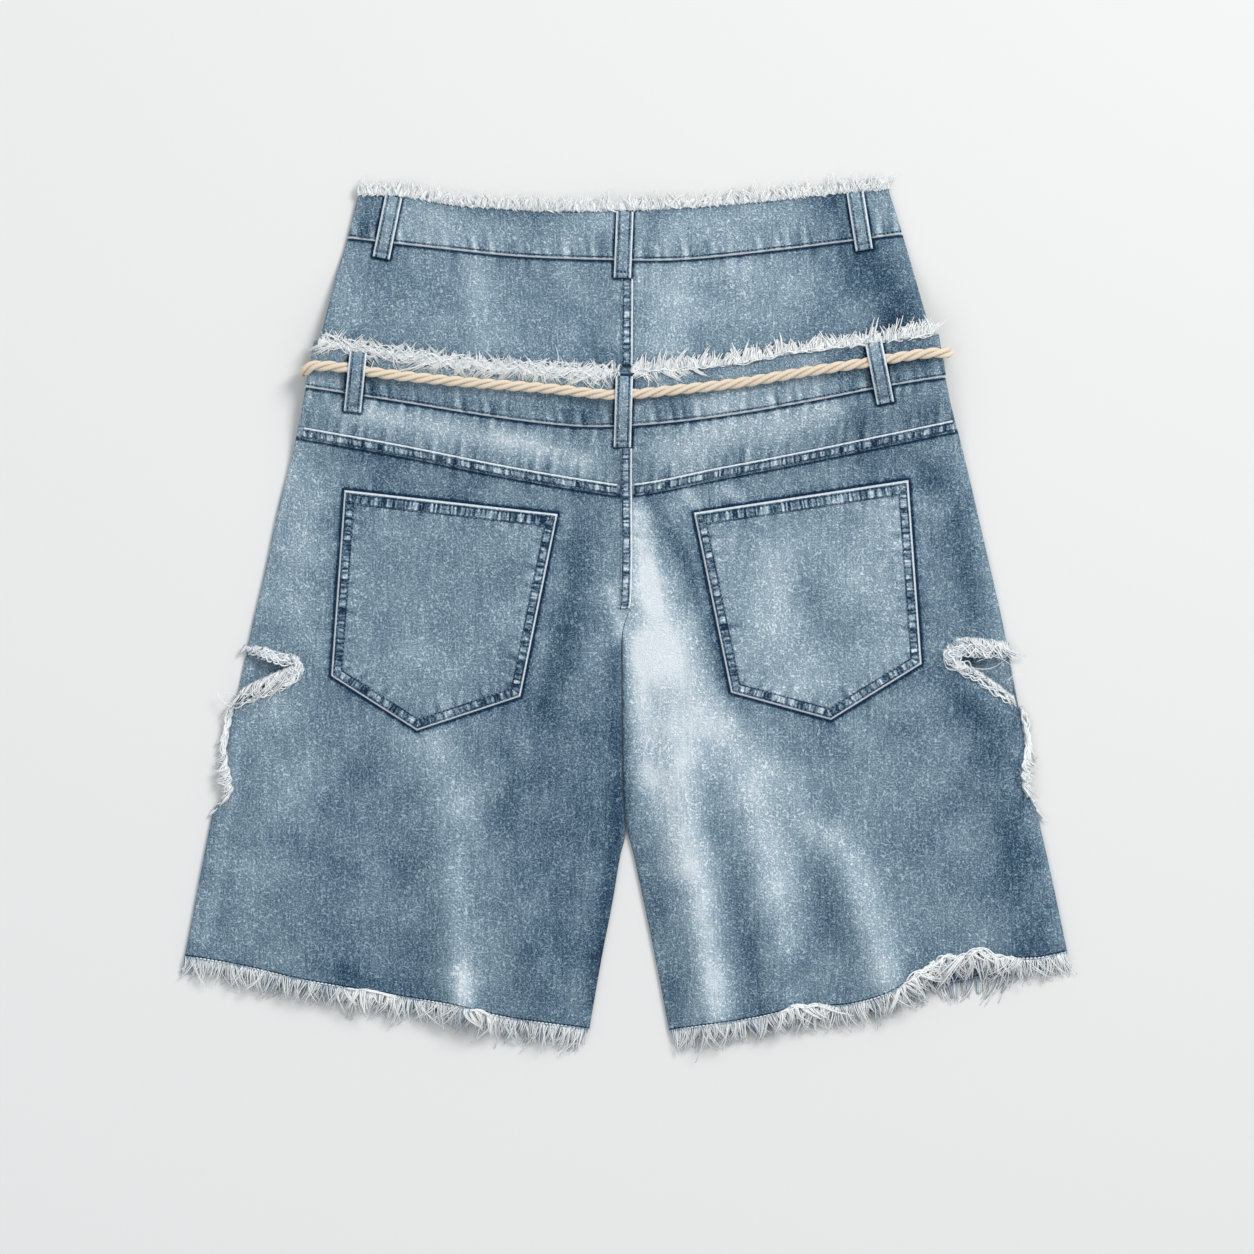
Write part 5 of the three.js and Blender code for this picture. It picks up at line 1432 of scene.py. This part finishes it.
class SHORTS_OT_pockets(PieceOperator, bpy.types.Operator):
    """Make the two patch pockets"""

    bl_idname = "shorts.pockets"
    bl_label = "Patch pockets"

    def make(self, sizes, colours):
        for side, corners in POCKETS.items():
            outer_top, inner_top, inner_bottom, point, outer_bottom = np.array(corners, float)
            at_point = (point[0] - outer_bottom[0]) / (inner_bottom[0] - outer_bottom[0])
            u = np.sin(np.linspace(-1, 1, 86) * math.pi / 2) * 0.5 + 0.5
            u = np.sort(np.append(mix(u, np.linspace(0, 1, 86), 0.45), at_point))
            v = mix(np.sin(np.linspace(-1, 1, 84) * math.pi / 2) * 0.5 + 0.5, np.linspace(0, 1, 84), 0.45)
            head = mix(outer_top, inner_top, u[:, None])
            foot = np.where((u < at_point)[:, None], mix(outer_bottom, point, u[:, None] / at_point),
                            mix(point, inner_bottom, (u[:, None] - at_point) / (1 - at_point)))
            flat = mix(head[None], foot[None], v[:, None, None])
            flat = flat if side == "left" else flat[:, ::-1]
            x, y = flat[..., 0], flat[..., 1]
            off, run, top = pocket_off(side, x, y)
            grid = np.stack([x, y, pocket_face(side, x, y)], axis=-1)
            tone = wash_and_shade("pocket", 0.36 if side == "left" else 0.42, x, y)
            tone += 0.12 * gathers(run, off - 4.8, 3.5, 0.8)
            tone += 0.20 * gathers(run, off - 10, 6, 1.9) - 0.15 * np.exp(-((off - 4.8) / 3.2) ** 4)
            off = np.where(top < off + 0.5, off * 7.6 / 9.75, off)
            cloth(f"pocket_{side}_cloth", f"pocket_{side}", grid, 1, DENIM, tone, off, run,
                  bpy.data.materials["Denim pocket"])


def loop_frame(top, bottom, count):
    top, bottom = np.array(top, float), np.array(bottom, float)
    t = np.linspace(0, 1, count)
    length = math.hypot(*(bottom - top))
    across = (top[1] - bottom[1]) / length, (bottom[0] - top[0]) / length
    ones = np.ones(count)
    return (mix(top[0], bottom[0], t), mix(top[1], bottom[1], t), across[0] * ones, across[1] * ones), length


def upper_loop_face(top, bottom):
    half = (top[1] - bottom[1]) / 2

    def face(x, y):
        under = upper_back_plain(x, y) + 0.7 * (1 - smooth((upper_band_seam(x) - 1 - y) / 7)) + 0.55
        return under + 2 * hill((y - bottom[1] - half) / half)
    return face


def lower_loop_face(top, _):
    centre = float(rope_line(top[0]))

    def face(x, y):
        band, leg = lower_band_plain(x, y), leg_back_plain(x, y)
        under = mix(band, np.minimum(band, leg), smooth((lower_band_seam(x) - 1 - y) / 8)) + 0.5
        off = y - centre
        reach = np.where(off > 0, top[1] - centre, 26)
        return under + (2 * ROPE_RADIUS + LAID - 0.2) * hill(off / (reach + 3)) ** 0.75
    return face


def front_loop_face(x, y):
    centre = rope_line(x)
    down = hill((y - centre) / FRONT_LOOP_REACH) ** 0.75
    return mix(lower_band_front(x, y) - SEAM - LOOP_WALL, 0, down)


class SHORTS_OT_belt_loops(PieceOperator, bpy.types.Operator):
    """Make the belt loops of both waistbands"""

    bl_idname = "shorts.belt_loops"
    bl_label = "Belt loops"

    def make(self, sizes, colours):
        material = bpy.data.materials["Denim loop"]
        half = LOOP_WIDTH / 2
        loops = [(name, ends, upper_loop_face(*ends)) for name, ends in UPPER_LOOPS.items()]
        loops += [(name, ends, lower_loop_face(*ends)) for name, ends in LOWER_LOOPS.items()]
        for name, ends, face in loops:
            middle, length = loop_frame(*ends, 56)
            grid, a = strip_grid(middle, half, 13, face, LOOP_WALL, 0.8)
            t = np.linspace(0, 1, 56)[:, None]
            to_end = (1 - t) * length
            grid[..., 2] += 0.7 * smooth((5 - to_end) / 1.5) - 0.8 * (1 - swell(to_end / 1.4))
            tone = wash_and_shade("loop", 0.47, grid[..., 0], grid[..., 1]) + 0.10 * gathers(t * length, a, 7, 0.3)
            tone = tone - 0.2 * bell((to_end - 5) / 1.0)
            cloth(f"{name}_cloth", name, grid, 1, LOOP_WALL, tone, half - np.abs(a),
                  t * length, material)
        for side, x in (("left", -FRONT_LOOP_X), ("right", FRONT_LOOP_X)):
            y = mix(rope_line(x) + FRONT_LOOP_REACH - 4, rope_line(x) - FRONT_LOOP_REACH,
                    np.linspace(0, 1, 40))
            grid, a = strip_grid((np.full(40, x), y, np.ones(40), np.zeros(40)), half, 13, front_loop_face,
                                 0, 0)
            cloth(f"belt_loop_front_{side}_cloth", f"belt_loop_front_{side}", grid, -1, LOOP_WALL, 0.42,
                  half - np.abs(a), grid[..., 1], material)


def rope_route():
    """Stations of the rope's middle line, from the cloth's height: from the front's centre round the right
    fold, across the back and home by the left fold."""
    def over(x):
        return float(lower_band_plain(x, rope_line(x))) + LAID + ROPE_RADIUS

    def turn(side):
        sign = np.sign(side)
        angle = np.radians([-72, -36, 0, 36, 72])
        radius = (over(side) - FRONT_ROPE_Z) / 2
        y = float(rope_line(side)) - 6 * np.cos(angle) * (sign < 0)
        return np.stack([side + sign * (radius + ROPE_SIDE_AIR) * np.cos(angle), y,
                         (over(side) + FRONT_ROPE_Z) / 2 + radius * np.sin(angle)], axis=1)

    def low(*stations):
        return [(x, float(rope_line(x)), FRONT_ROPE_Z) for x in stations]

    right_fold = float(lower_right(rope_line(240))) - 5
    left_fold = float(lower_left(rope_line(-240))) + 5
    across = (222, 182, 130, 85, 40, -9, -58, -133, -180, -222)
    return np.array([*low(0.4, 60, 120, 180, 222), *turn(right_fold),
                     *[(x, float(rope_line(x)), over(x)) for x in across], *turn(left_fold)[::-1],
                     *low(-222, -180, -120, -60, -0.4)], float)


def smooth_path(stations, step):
    """A centripetal Catmull-Rom curve through the stations, sampled at an even step along it."""
    padded = np.concatenate([[2 * stations[0] - stations[1]], stations, [2 * stations[-1] - stations[-2]]])
    knot = np.sqrt(np.linalg.norm(np.diff(padded, axis=0), axis=1))
    p0, p1, p2, p3 = padded[:-3], padded[1:-2], padded[2:-1], padded[3:]
    k0, k1, k2 = (knot[n:n + len(p0), None] for n in range(3))
    start = ((p1 - p0) / k0 - (p2 - p0) / (k0 + k1) + (p2 - p1) / k1) * k1
    end = ((p2 - p1) / k1 - (p3 - p1) / (k1 + k2) + (p3 - p2) / k2) * k1
    t = np.linspace(0, 1, 60, endpoint=False)[None, :, None]
    curve_points = ((2 * t ** 3 - 3 * t ** 2 + 1) * p1[:, None] + (t ** 3 - 2 * t ** 2 + t) * start[:, None]
                    + (3 * t ** 2 - 2 * t ** 3) * p2[:, None]
                    + (t ** 3 - t ** 2) * end[:, None]).reshape(-1, 3)
    curve_points = np.concatenate([curve_points, stations[-1:]])
    run = np.concatenate([[0], np.cumsum(np.linalg.norm(np.diff(curve_points, axis=0), axis=1))])
    at = np.linspace(0, run[-1], int(run[-1] / step))
    return np.stack([np.interp(at, run, curve_points[:, axis]) for axis in range(3)], axis=1), at


class SHORTS_OT_rope(PieceOperator, bpy.types.Operator):
    """Make the rope belt: three strands twisted round its middle line"""

    bl_idname = "shorts.rope"
    bl_label = "Rope belt"

    def make(self, sizes, colours):
        path, run = smooth_path(rope_route(), 1.4)
        tangent = np.gradient(path, axis=0)
        tangent /= np.linalg.norm(tangent, axis=1)[:, None]
        first = np.array([0.0, 1.0, 0.0]) - tangent[:, 1:2] * tangent
        first /= np.linalg.norm(first, axis=1)[:, None]
        second = np.cross(tangent, first)
        strand, sides = ROPE_RADIUS / 2.155, 11
        twist = -run / (sizes.rope_twist / MM) * 2 * math.pi
        phase = twist[:, None] + angles(3)
        around = angles(sides)
        middle = (path[:, None] + 1.155 * strand * (np.cos(phase)[..., None] * first[:, None]
                                                    + np.sin(phase)[..., None] * second[:, None]))
        turned = phase[..., None] + around
        ring = strand * 1.06 * (np.cos(turned)[..., None] * first[:, None, None]
                                + np.sin(turned)[..., None] * second[:, None, None])
        points = (middle[:, :, None] + ring).transpose(1, 0, 2, 3)
        # Painted shade: each strand darker on its side toward the rope's core, in the grooves between
        # strands.
        groove = np.broadcast_to(0.5 + 0.45 * np.cos(around), points.shape[:3])
        yarn = np.broadcast_to((run * 2.4)[:, None] + 1.5 * around, points.shape[:3])
        piece = new_mesh("rope_belt_strands", points.reshape(-1, 3), tube_faces(*points.shape[:3]),
                         bpy.data.materials["Cotton rope"], groove=groove, run=yarn)
        finish_piece(piece, "rope", "rope_belt")


class SHORTS_OT_buttons(PieceOperator, bpy.types.Operator):
    """Make the two waist buttons of the hidden front"""

    bl_idname = "shorts.buttons"
    bl_label = "Waist buttons"

    def make(self, sizes, colours):
        profile = np.array([(1.6, 0.7), (2.4, 0.45), (5.6, 0.5), (6.3, 0.1), (7.4, 0.0), (8.2, 0.4),
                            (8.5, 1.1), (8.1, 1.8), (4.6, 2.2), (4.25, 2.5), (4.25, 3.2)])
        around = angles(48)
        lower_top = float(lower_band_front(BUTTON_X, LOWER_BUTTON_Y)) - BUTTON_AIR
        for name, y, top in (("upper", UPPER_BUTTON_Y, BUTTON_HEIGHT), ("lower", LOWER_BUTTON_Y, lower_top)):
            height = top - BUTTON_HEIGHT + profile[:, 1:] + 0 * around
            rings = np.stack([BUTTON_X + profile[:, :1] * np.cos(around), y + profile[:, :1] * np.sin(around),
                              height], axis=-1)
            piece = new_mesh(f"waist_button_{name}_brass", rings.reshape(-1, 3),
                             tube_faces(1, len(profile), 48), bpy.data.materials["Aged brass"])
            finish_piece(piece, "button", f"waist_button_{name}")


def inset(side, first, top):
    """The pocket's outline moved in: by top from its top edge and by first from the others."""
    start, along, outward, _, _ = pocket_edges(side)
    depth = np.array([top, first, first, first, first])
    moved = start - outward * depth[:, None]
    before, step = np.roll(moved, 1, axis=0), np.roll(along, 1, axis=0)
    gap = moved - before
    reach = ((gap[:, 0] * along[:, 1] - gap[:, 1] * along[:, 0])
             / (step[:, 0] * along[:, 1] - step[:, 1] * along[:, 0]))
    corners = before + step * reach[:, None]
    return np.concatenate([corners, corners[:1]])


class SHORTS_OT_stitching(PieceOperator, bpy.types.Operator):
    """Sew the rows of stitches on the bands, seams, pockets, loops and hems"""

    bl_idname = "shorts.stitching"
    bl_label = "Stitching"

    def make(self, sizes, colours):
        thread = bpy.data.materials["Sewing thread"]
        pitch = sizes.stitch_pitch / MM
        stitch_rows("stitches_upper_waistband", [
            (line_across(upper_band_seam, -203, 201, -BAND_ROW), raised(upper_band_face, THREAD_RISE)),
            (line_across(waist_edge, -196, 190, 1.6), raised(upper_band_face, THREAD_RISE))], thread, pitch)
        stitch_rows("stitches_lower_waistband", [
            (line_across(lower_band_seam, -236, 236, -BAND_ROW), raised(lower_band_face, THREAD_RISE)),
            (line_across(lower_band_edge, 8, 228, 1.4), raised(lower_band_face, THREAD_RISE))], thread, pitch)
        felled = raised(leg_back, FELLED_TOP + THREAD_RISE)
        rows = [(line_across(yoke_seam, x0, x1, drop), felled)
                for x0, x1 in ((-242, -10), (6, 244)) for drop in FELLED_ROWS]
        for y0, y1, face in ((250, 190, upper_back), (123, 6, leg_back)):
            y = np.linspace(y0, y1, 60)
            rows += [(np.stack([middle_line(y) - off, y], axis=1), raised(face, FELLED_TOP + THREAD_RISE))
                     for off in FELLED_ROWS]
        stitch_rows("stitches_felled_seams", rows, thread, pitch)
        for side in POCKETS:
            face = raised(lambda x, y, side=side: pocket_face(side, x, y), THREAD_RISE)
            corners, along, outward, length, _ = pocket_edges(side)
            tacks = [corners[0] + along[0] * off - outward[0] * np.array([[1.5], [11.0]])
                     for at in (2.4, 3.4, 4.4) for off in (at, length[0] - at)]
            lines = [inset(side, *depths) for depths in zip(POCKET_ROWS, POCKET_HEM_ROWS)]
            stitch_rows(f"stitches_pocket_{side}", [(line, face) for line in (*lines, *tacks)], thread, pitch)
        rows = []
        for loops, maker in ((UPPER_LOOPS, upper_loop_face), (LOWER_LOOPS, lower_loop_face)):
            for ends in loops.values():
                (x, y, across_x, across_y), length = loop_frame(*ends, 60)
                face = raised(maker(*ends), LOOP_WALL + THREAD_RISE)
                rows += [(np.stack([x + a * across_x, y + a * across_y], axis=1)[1:-5], face)
                         for a in (-4.1, 4.1)]
                for back in (4.2, 5.0):
                    k = int(59 * (1 - back / length))
                    ends_of_tack = [(x[k] + a * across_x[k], y[k] + a * across_y[k]) for a in (-5, 5)]
                    rows.append((ends_of_tack, raised(maker(*ends), LOOP_WALL + 0.5)))
        stitch_rows("stitches_belt_loops", rows, thread, pitch * 0.85, 2.0)
        white = bpy.data.materials["Frayed cotton"]
        stitch_rows("stitches_hems", [
            (line_across(hem_left, -324, -34, -0.9), raised(leg_back, 0.12)),
            (line_across(hem_right_back, 36, 324, -0.9), raised(leg_back, 0.12))], white, 2.9, 2.1, 0.5, 0.35)


def fray_waist(rng, cotton, length):
    middle, above = raised(upper_band_back, -WAISTBAND / 2), raised(upper_band_back, 0.2)
    edge = chain_of(waist_edge, -202, 197)
    fray("fray_waist_back", "fringe_waist_back", cotton, [
        *tufts(rng, edge, middle, 1, length, 3.6, 5, spread=0.25, slant=0.1, curl=0.35, inset=0.8, width=0.42,
               shade=(0.75, 1.0), leaf_shade=0.85),
        *tufts(rng, edge, above, 1, length * 0.75, 3.2, 5, spread=0.35, slant=0.1, curl=0.5, inset=0.6,
               width=0.36, shade=(0.85, 1.0), leaf_shade=0.9),
        *tufts(rng, edge, above, -1, 2.2, 3.0, 4, spread=0.5, curl=0.5, inset=0.6, width=0.34, leaf=0.0,
               shade=(0.85, 1.0), leaf_shade=0.8)])
    for side, x0, x1 in (("left", -200, -3), ("right", 3, 195)):
        fray(f"fray_waist_front_{side}", f"fringe_waist_front_{side}", cotton, tufts(
            rng, chain_of(waist_edge, x0, x1), raised(upper_band_front, WAISTBAND / 2), 1, length * 0.8, 4,
            4, shade=(0.75, 1.0), leaf_shade=0.8))


def fray_band(rng, cotton, length):
    middle, above = raised(lower_band_back, 0.6 - WAISTBAND / 2), raised(lower_band_back, 0.3)
    left, right = chain_of(lower_band_edge, -231, -6), chain_of(lower_band_edge, 3, 231)
    fray("fray_band_back_left", "fringe_band_back_left", cotton, [
        *tufts(rng, left, middle, 1, length * 0.85, 3.4, 6, spread=0.3, curl=0.4, inset=1.5, width=0.34,
               shade=(0.6, 1.0), leaf=0.3, leaf_shade=0.7),
        *tufts(rng, left, above, 1, length * 0.55, 3.4, 6, spread=0.5, curl=0.7, inset=3.5, width=0.34,
               shade=(0.75, 1.0), leaf=0.3, leaf_shade=0.8),
        *tufts(rng, left, above, -1, length * 1.0, 3.6, 6, spread=0.4, slant=-0.5, curl=0.6, inset=2.5,
               width=0.34, shade=(0.6, 1.0), leaf=0.3, leaf_shade=0.7),
        *tufts(rng, chain_of(lower_band_edge, -150, -12), above, -1, length * 1.2, 4.0, 6, spread=0.5,
               slant=-0.6, curl=0.8, inset=0.0, width=0.34, shade=(0.5, 1.0), leaf=0.25),
        twists(rng, left, above, 90, 34, 5.5, width=0.32)])
    fray("fray_band_back_right", "fringe_band_back_right", cotton, [
        *tufts(rng, right, middle, 1, length * 1.1, 5.4, 6, spread=0.12, slant=0.25, curl=0.3, inset=0.6,
               width=0.56, pinch=0.1, shade=(0.7, 1.0), leaf_shade=0.55, blunt=0.3),
        *tufts(rng, right, above, 1, length * 0.85, 4.6, 5, spread=0.2, slant=0.3, curl=0.5, inset=0.8,
               width=0.5, pinch=0.2, shade=(0.8, 1.0), leaf_shade=0.7, blunt=0.3),
        *tufts(rng, chain_of(lower_band_edge, 4, 52), above, -1, length * 0.75, 5, 6, spread=0.5, curl=0.8,
               inset=1.0, width=0.46, shade=(0.7, 1.0)),
        twists(rng, right, above, 30, 20, 1.5, width=0.4)])
    for side, x0, x1 in (("left", -228, -3), ("right", 9, 227)):
        fray(f"fray_band_front_{side}", f"fringe_band_front_{side}", cotton, tufts(
            rng, chain_of(lower_band_edge, x0, x1), raised(lower_band_front, WAISTBAND / 2), 1,
            length * 0.75, 4.5, 4))
    loose = [(-61, 180, -54, 202, -0.25), (-40, 176, -52, 190, 0.3), (-30, 172, -14, 186, 0.3),
             (-16, 178, -34, 170, 0.4), (6, 176, 24, 170, 0.35), (12, 182, 10, 164, 0.3),
             (-110, 178, -84, 181, 0.15), (-190, 190, -206, 184, 0.4), (32, 178, 22, 188, -0.3)]
    fray("loose_threads_band", None, cotton, [loose_threads(loose, lower_band_back, 0.34)])


def fray_hems(rng, cotton, length):
    middle, above = raised(leg_back, -DENIM / 2), raised(leg_back, 0.4)

    def near_floor(x, y):
        return np.full(np.shape(x + y), 1.0)

    rows = (("left", hem_left, hem_left, -331, -31), ("right", hem_right_back, hem_right_front, 34, 329))
    for side, back_hem, front_hem, x0, x1 in rows:
        edge = chain_of(back_hem, x0, x1)
        # The dark leaves of the first tufts (leaf_shade 0.15) are painted shade in the gaps between the
        # strands.
        bunches = [
            *tufts(rng, edge, middle, -1, length * 0.95, 4.6, 4, spread=0.14, slant=0.05, curl=0.25,
                   inset=0.6, settle=near_floor, pull=0.75, width=0.64, pinch=0.3, shade=(0.4, 1.0),
                   leaf_shade=0.15),
            *tufts(rng, edge, middle, -1, length * 0.9, 4.0, 4, spread=0.2, slant=-0.05, curl=0.35,
                   inset=0.8, settle=near_floor, pull=0.5, width=0.46, shade=(0.75, 1.0), lift=0.9, leaf=0.0)]
        for k0, k1, over in KNOTS[side]:
            bunches += tufts(rng, arched_chain(back_hem, k0, k1, over), above, -1, length * 0.75, 4.5, 6,
                             spread=0.45, curl=0.8, inset=0.2, settle=near_floor, pull=0.25, width=0.62,
                             shade=(0.85, 1.0), lift=1.5, leaf_shade=0.85)
            bunches.append(twists(rng, arched_chain(back_hem, k0 + 4, k1 - 4, over), above,
                                  int((k1 - k0) / 4), 24, over * 0.6, width=0.62))
        fray(f"fray_hem_back_{side}", f"fringe_hem_back_{side}", cotton, bunches)
        fray(f"fray_hem_front_{side}", f"fringe_hem_front_{side}", cotton, tufts(
            rng, chain_of(front_hem, x0, x1), raised(leg_front, DENIM / 2), -1, length * 0.95,
            4.6, 4, spread=0.2, curl=0.35, inset=0.6, width=0.5, shade=(0.4, 0.85)))


def fray_rips(rng, cotton):
    surface = raised(leg_back, 0.2)

    def fold(x, y):
        return np.maximum(side_fold_height(x, y), 0.9 * leg_back(x, y)) + 0.6

    for side, rip in RIPS.items():
        sign = rip["sign"]
        upper = ragged([*rip["upper"], rip["tip"]], seed=0.5)
        down = (0.45 * sign, -1)
        upper_length, lower_length = (8, 15) if side == "left" else (11, 6)
        # The dark leaves of the first tufts (leaf_shade 0.2) are painted shade in the gaps between the
        # threads.
        fray(f"fray_rip_upper_{side}", f"fringe_rip_upper_{side}", cotton, [
            *tufts(rng, upper, surface, sign, upper_length, 4.2, 6, along=down, spread=0.25, curl=0.5,
                   inset=2.0, width=0.46, shade=(0.3, 1.0), leaf_shade=0.2),
            *tufts(rng, upper[:-5], surface, sign, upper_length * 0.8, 4.0, 6, along=down, spread=0.3,
                   curl=0.6, inset=2.0, width=0.44, shade=(0.8, 1.0), lift=2.0),
            twists(rng, np.array(rip["ruffle"]), surface, 36, 26, upper_length * 0.5, width=0.62, lift=2.4,
                   shade=(0.2, 1.0), waves=9.0)])
        lower = np.array(rip["inner"], float)
        fray(f"fray_rip_lower_{side}", f"fringe_rip_lower_{side}", cotton, [
            *tufts(rng, lower, surface, -sign, lower_length, 4.4, 6, along=(0.6 * sign, -1), spread=0.2,
                   curl=0.4, inset=1.0, width=0.5, shade=(0.5, 1.0), leaf_shade=0.5, overlap=0.55),
            *tufts(rng, lower, surface, -sign, lower_length * 0.85, 4.2, 6, along=(0.8 * sign, -1),
                   spread=0.35, curl=0.8, inset=1.5, width=0.46, shade=(0.8, 1.0), lift=2.4, overlap=0.6),
            twists(rng, ragged([rip["tip"], *rip["lower"]], seed=0.7), surface, 18, 24, 2.0, width=0.44,
                   lift=1.4, shade=(0.3, 1.0))])
        *upper_bite, (end_x, end_y) = rip["bite"]
        bite = ragged([(sign * 295.5, -70), *upper_bite, (end_x, end_y - 1)], seed=2.0)
        last = int(0.45 * len(bite))
        fray(f"fray_side_{side}", f"fringe_side_{side}", cotton, [
            *tufts(rng, bite, side_fold_height, sign, 9, 4.4, 6, along=(0.35 * sign, -1), spread=0.15,
                   curl=0.3, inset=1.5, width=0.5, shade=(0.6, 1.0), leaf_shade=0.6, overlap=0.6),
            *tufts(rng, bite[last:-7], fold, sign, 9, 4.2, 6, along=(0.4 * sign, -1), spread=0.2, curl=0.4,
                   inset=1.0, width=0.48, shade=(0.75, 1.0), lift=1.5, overlap=0.45),
            *tufts(rng, bite[last - 2:-9], fold, sign, 9, 4.2, 6, along=(0.9 * sign, -1), spread=0.2,
                   curl=0.4, inset=1.0, width=0.46, shade=(0.5, 1.0), overlap=0.6),
            twists(rng, bite[:-4] + np.array([sign * 2.0, 0.0]), fold, 30, 34, 2.4, width=0.46, lift=0.8)])
    loose = [(-295, -66, -307, -58, 0.3), (-292, -62, -308, -62, -0.2), (-296, -70, -304, -60, 0.2),
             (262, -36, 290, -40, 0.2), (258, -40, 284, -34, -0.15), (286, -50, 298, -46, 0.2)]
    fray("loose_threads_rips", None, cotton, [
        loose_threads(loose, lambda x, y: np.full(np.shape(x), 6.0), 0.3)])


class SHORTS_OT_fray(PieceOperator, bpy.types.Operator):
    """Fray the raw edges of the waistbands, the hems and the rips"""

    bl_idname = "shorts.fray"
    bl_label = "Frayed edges"

    def make(self, sizes, colours):
        rng = np.random.default_rng(41)
        cotton = bpy.data.materials["Frayed cotton"]
        fray_waist(rng, cotton, sizes.waist_fray / MM)
        fray_band(rng, cotton, sizes.band_fray / MM)
        fray_hems(rng, cotton, sizes.hem_fray / MM)
        fray_rips(rng, cotton)


class SHORTS_OT_cloth_notes(PieceOperator, bpy.types.Operator):
    """Does nothing: no flat sizes of the sheets of cloth are noted"""

    bl_idname = "shorts.cloth_notes"
    bl_label = "Cloth notes"

    def make(self, sizes, colours):
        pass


def area_light(name, place, size, power, colour):
    data = bpy.data.lights.new(name, "AREA")
    data.shape, data.size, data.energy, data.color = "DISK", size, power, colour
    lamp = bpy.data.objects.new(name, data)
    lamp.location = place
    lamp.rotation_euler = (-lamp.location).to_track_quat("-Z", "Y").to_euler()
    bpy.context.scene.collection.objects.link(lamp)
    return lamp


class SHORTS_OT_stage(PieceOperator, bpy.types.Operator):
    """Set the floor, the soft light and the camera that looks straight down"""

    bl_idname = "shorts.stage"
    bl_label = "Stage"

    def make(self, sizes, colours):
        material, _, shader = plain_material("Pale floor", 0.9, 0.1)
        shader.inputs["Base Color"].default_value = (*colours.floor, 1)
        mesh = bpy.data.meshes.new("Floor")
        mesh.from_pydata([(x * FLOOR_REACH, y * FLOOR_REACH, -FLOOR_DROP)
                          for x, y in ((-1, -1), (1, -1), (1, 1), (-1, 1))], [], [(0, 1, 2, 3)])
        mesh.materials.append(material)
        floor = bpy.data.objects.new("Floor", mesh)
        bpy.context.scene.collection.objects.link(floor)
        area_light("Key", (2.3, 2.9, 3.6), 2.3, 176, (1.0, 0.985, 0.96))
        area_light("Fill", (-1.5, -0.6, 2.6), 2.6, 14, (0.95, 0.98, 1.0))
        world = bpy.data.worlds.new("Studio")
        world.use_nodes = True
        background = world.node_tree.nodes["Background"]
        background.inputs["Color"].default_value = (0.96, 0.98, 1.0, 1)
        background.inputs["Strength"].default_value = 0.50
        bpy.context.scene.world = world
        bpy.context.scene.view_settings.view_transform = "Standard"
        camera_data = bpy.data.cameras.new("Overhead")
        camera_data.type, camera_data.ortho_scale, camera_data.clip_end = "ORTHO", VIEW_WIDTH, 20
        camera = bpy.data.objects.new("Overhead", camera_data)
        camera.location = (0, VIEW_MIDDLE_Y, VIEW_HEIGHT)
        bpy.context.scene.collection.objects.link(camera)
        bpy.context.scene.camera = camera


PIECE_OPERATORS = (
    SHORTS_OT_materials, SHORTS_OT_waistbands, SHORTS_OT_upper_panels, SHORTS_OT_yokes, SHORTS_OT_legs,
    SHORTS_OT_felled_seams, SHORTS_OT_pockets, SHORTS_OT_belt_loops, SHORTS_OT_rope, SHORTS_OT_buttons,
    SHORTS_OT_stitching, SHORTS_OT_fray, SHORTS_OT_stage, SHORTS_OT_cloth_notes,
)


class SHORTS_PT_panel(bpy.types.Panel):
    """The shorts' sizes, colours and pieces"""

    bl_label = "Denim shorts"
    bl_idname = "SHORTS_PT_panel"
    bl_space_type = "VIEW_3D"
    bl_region_type = "UI"
    bl_category = "Shorts"

    def draw(self, context):
        for group in (context.scene.shorts_sizes, context.scene.shorts_colours):
            box = self.layout.box()
            for key in group.bl_rna.properties.keys():
                if key not in {"rna_type", "name"}:
                    box.prop(group, key)
        for operator in PIECE_OPERATORS:
            self.layout.operator(operator.bl_idname)


CLASSES = (ShortsSizes, ShortsColours, *PIECE_OPERATORS, SHORTS_PT_panel)


def register():
    for cls in CLASSES:
        bpy.utils.register_class(cls)
    bpy.types.Scene.shorts_sizes = bpy.props.PointerProperty(type=ShortsSizes)
    bpy.types.Scene.shorts_colours = bpy.props.PointerProperty(type=ShortsColours)


def unregister():
    del bpy.types.Scene.shorts_colours
    del bpy.types.Scene.shorts_sizes
    for cls in reversed(CLASSES):
        bpy.utils.unregister_class(cls)


def main():
    register()
    for operator in PIECE_OPERATORS:
        category, name = operator.bl_idname.split(".")
        getattr(getattr(bpy.ops, category), name)()


if __name__ == "__main__":
    main()
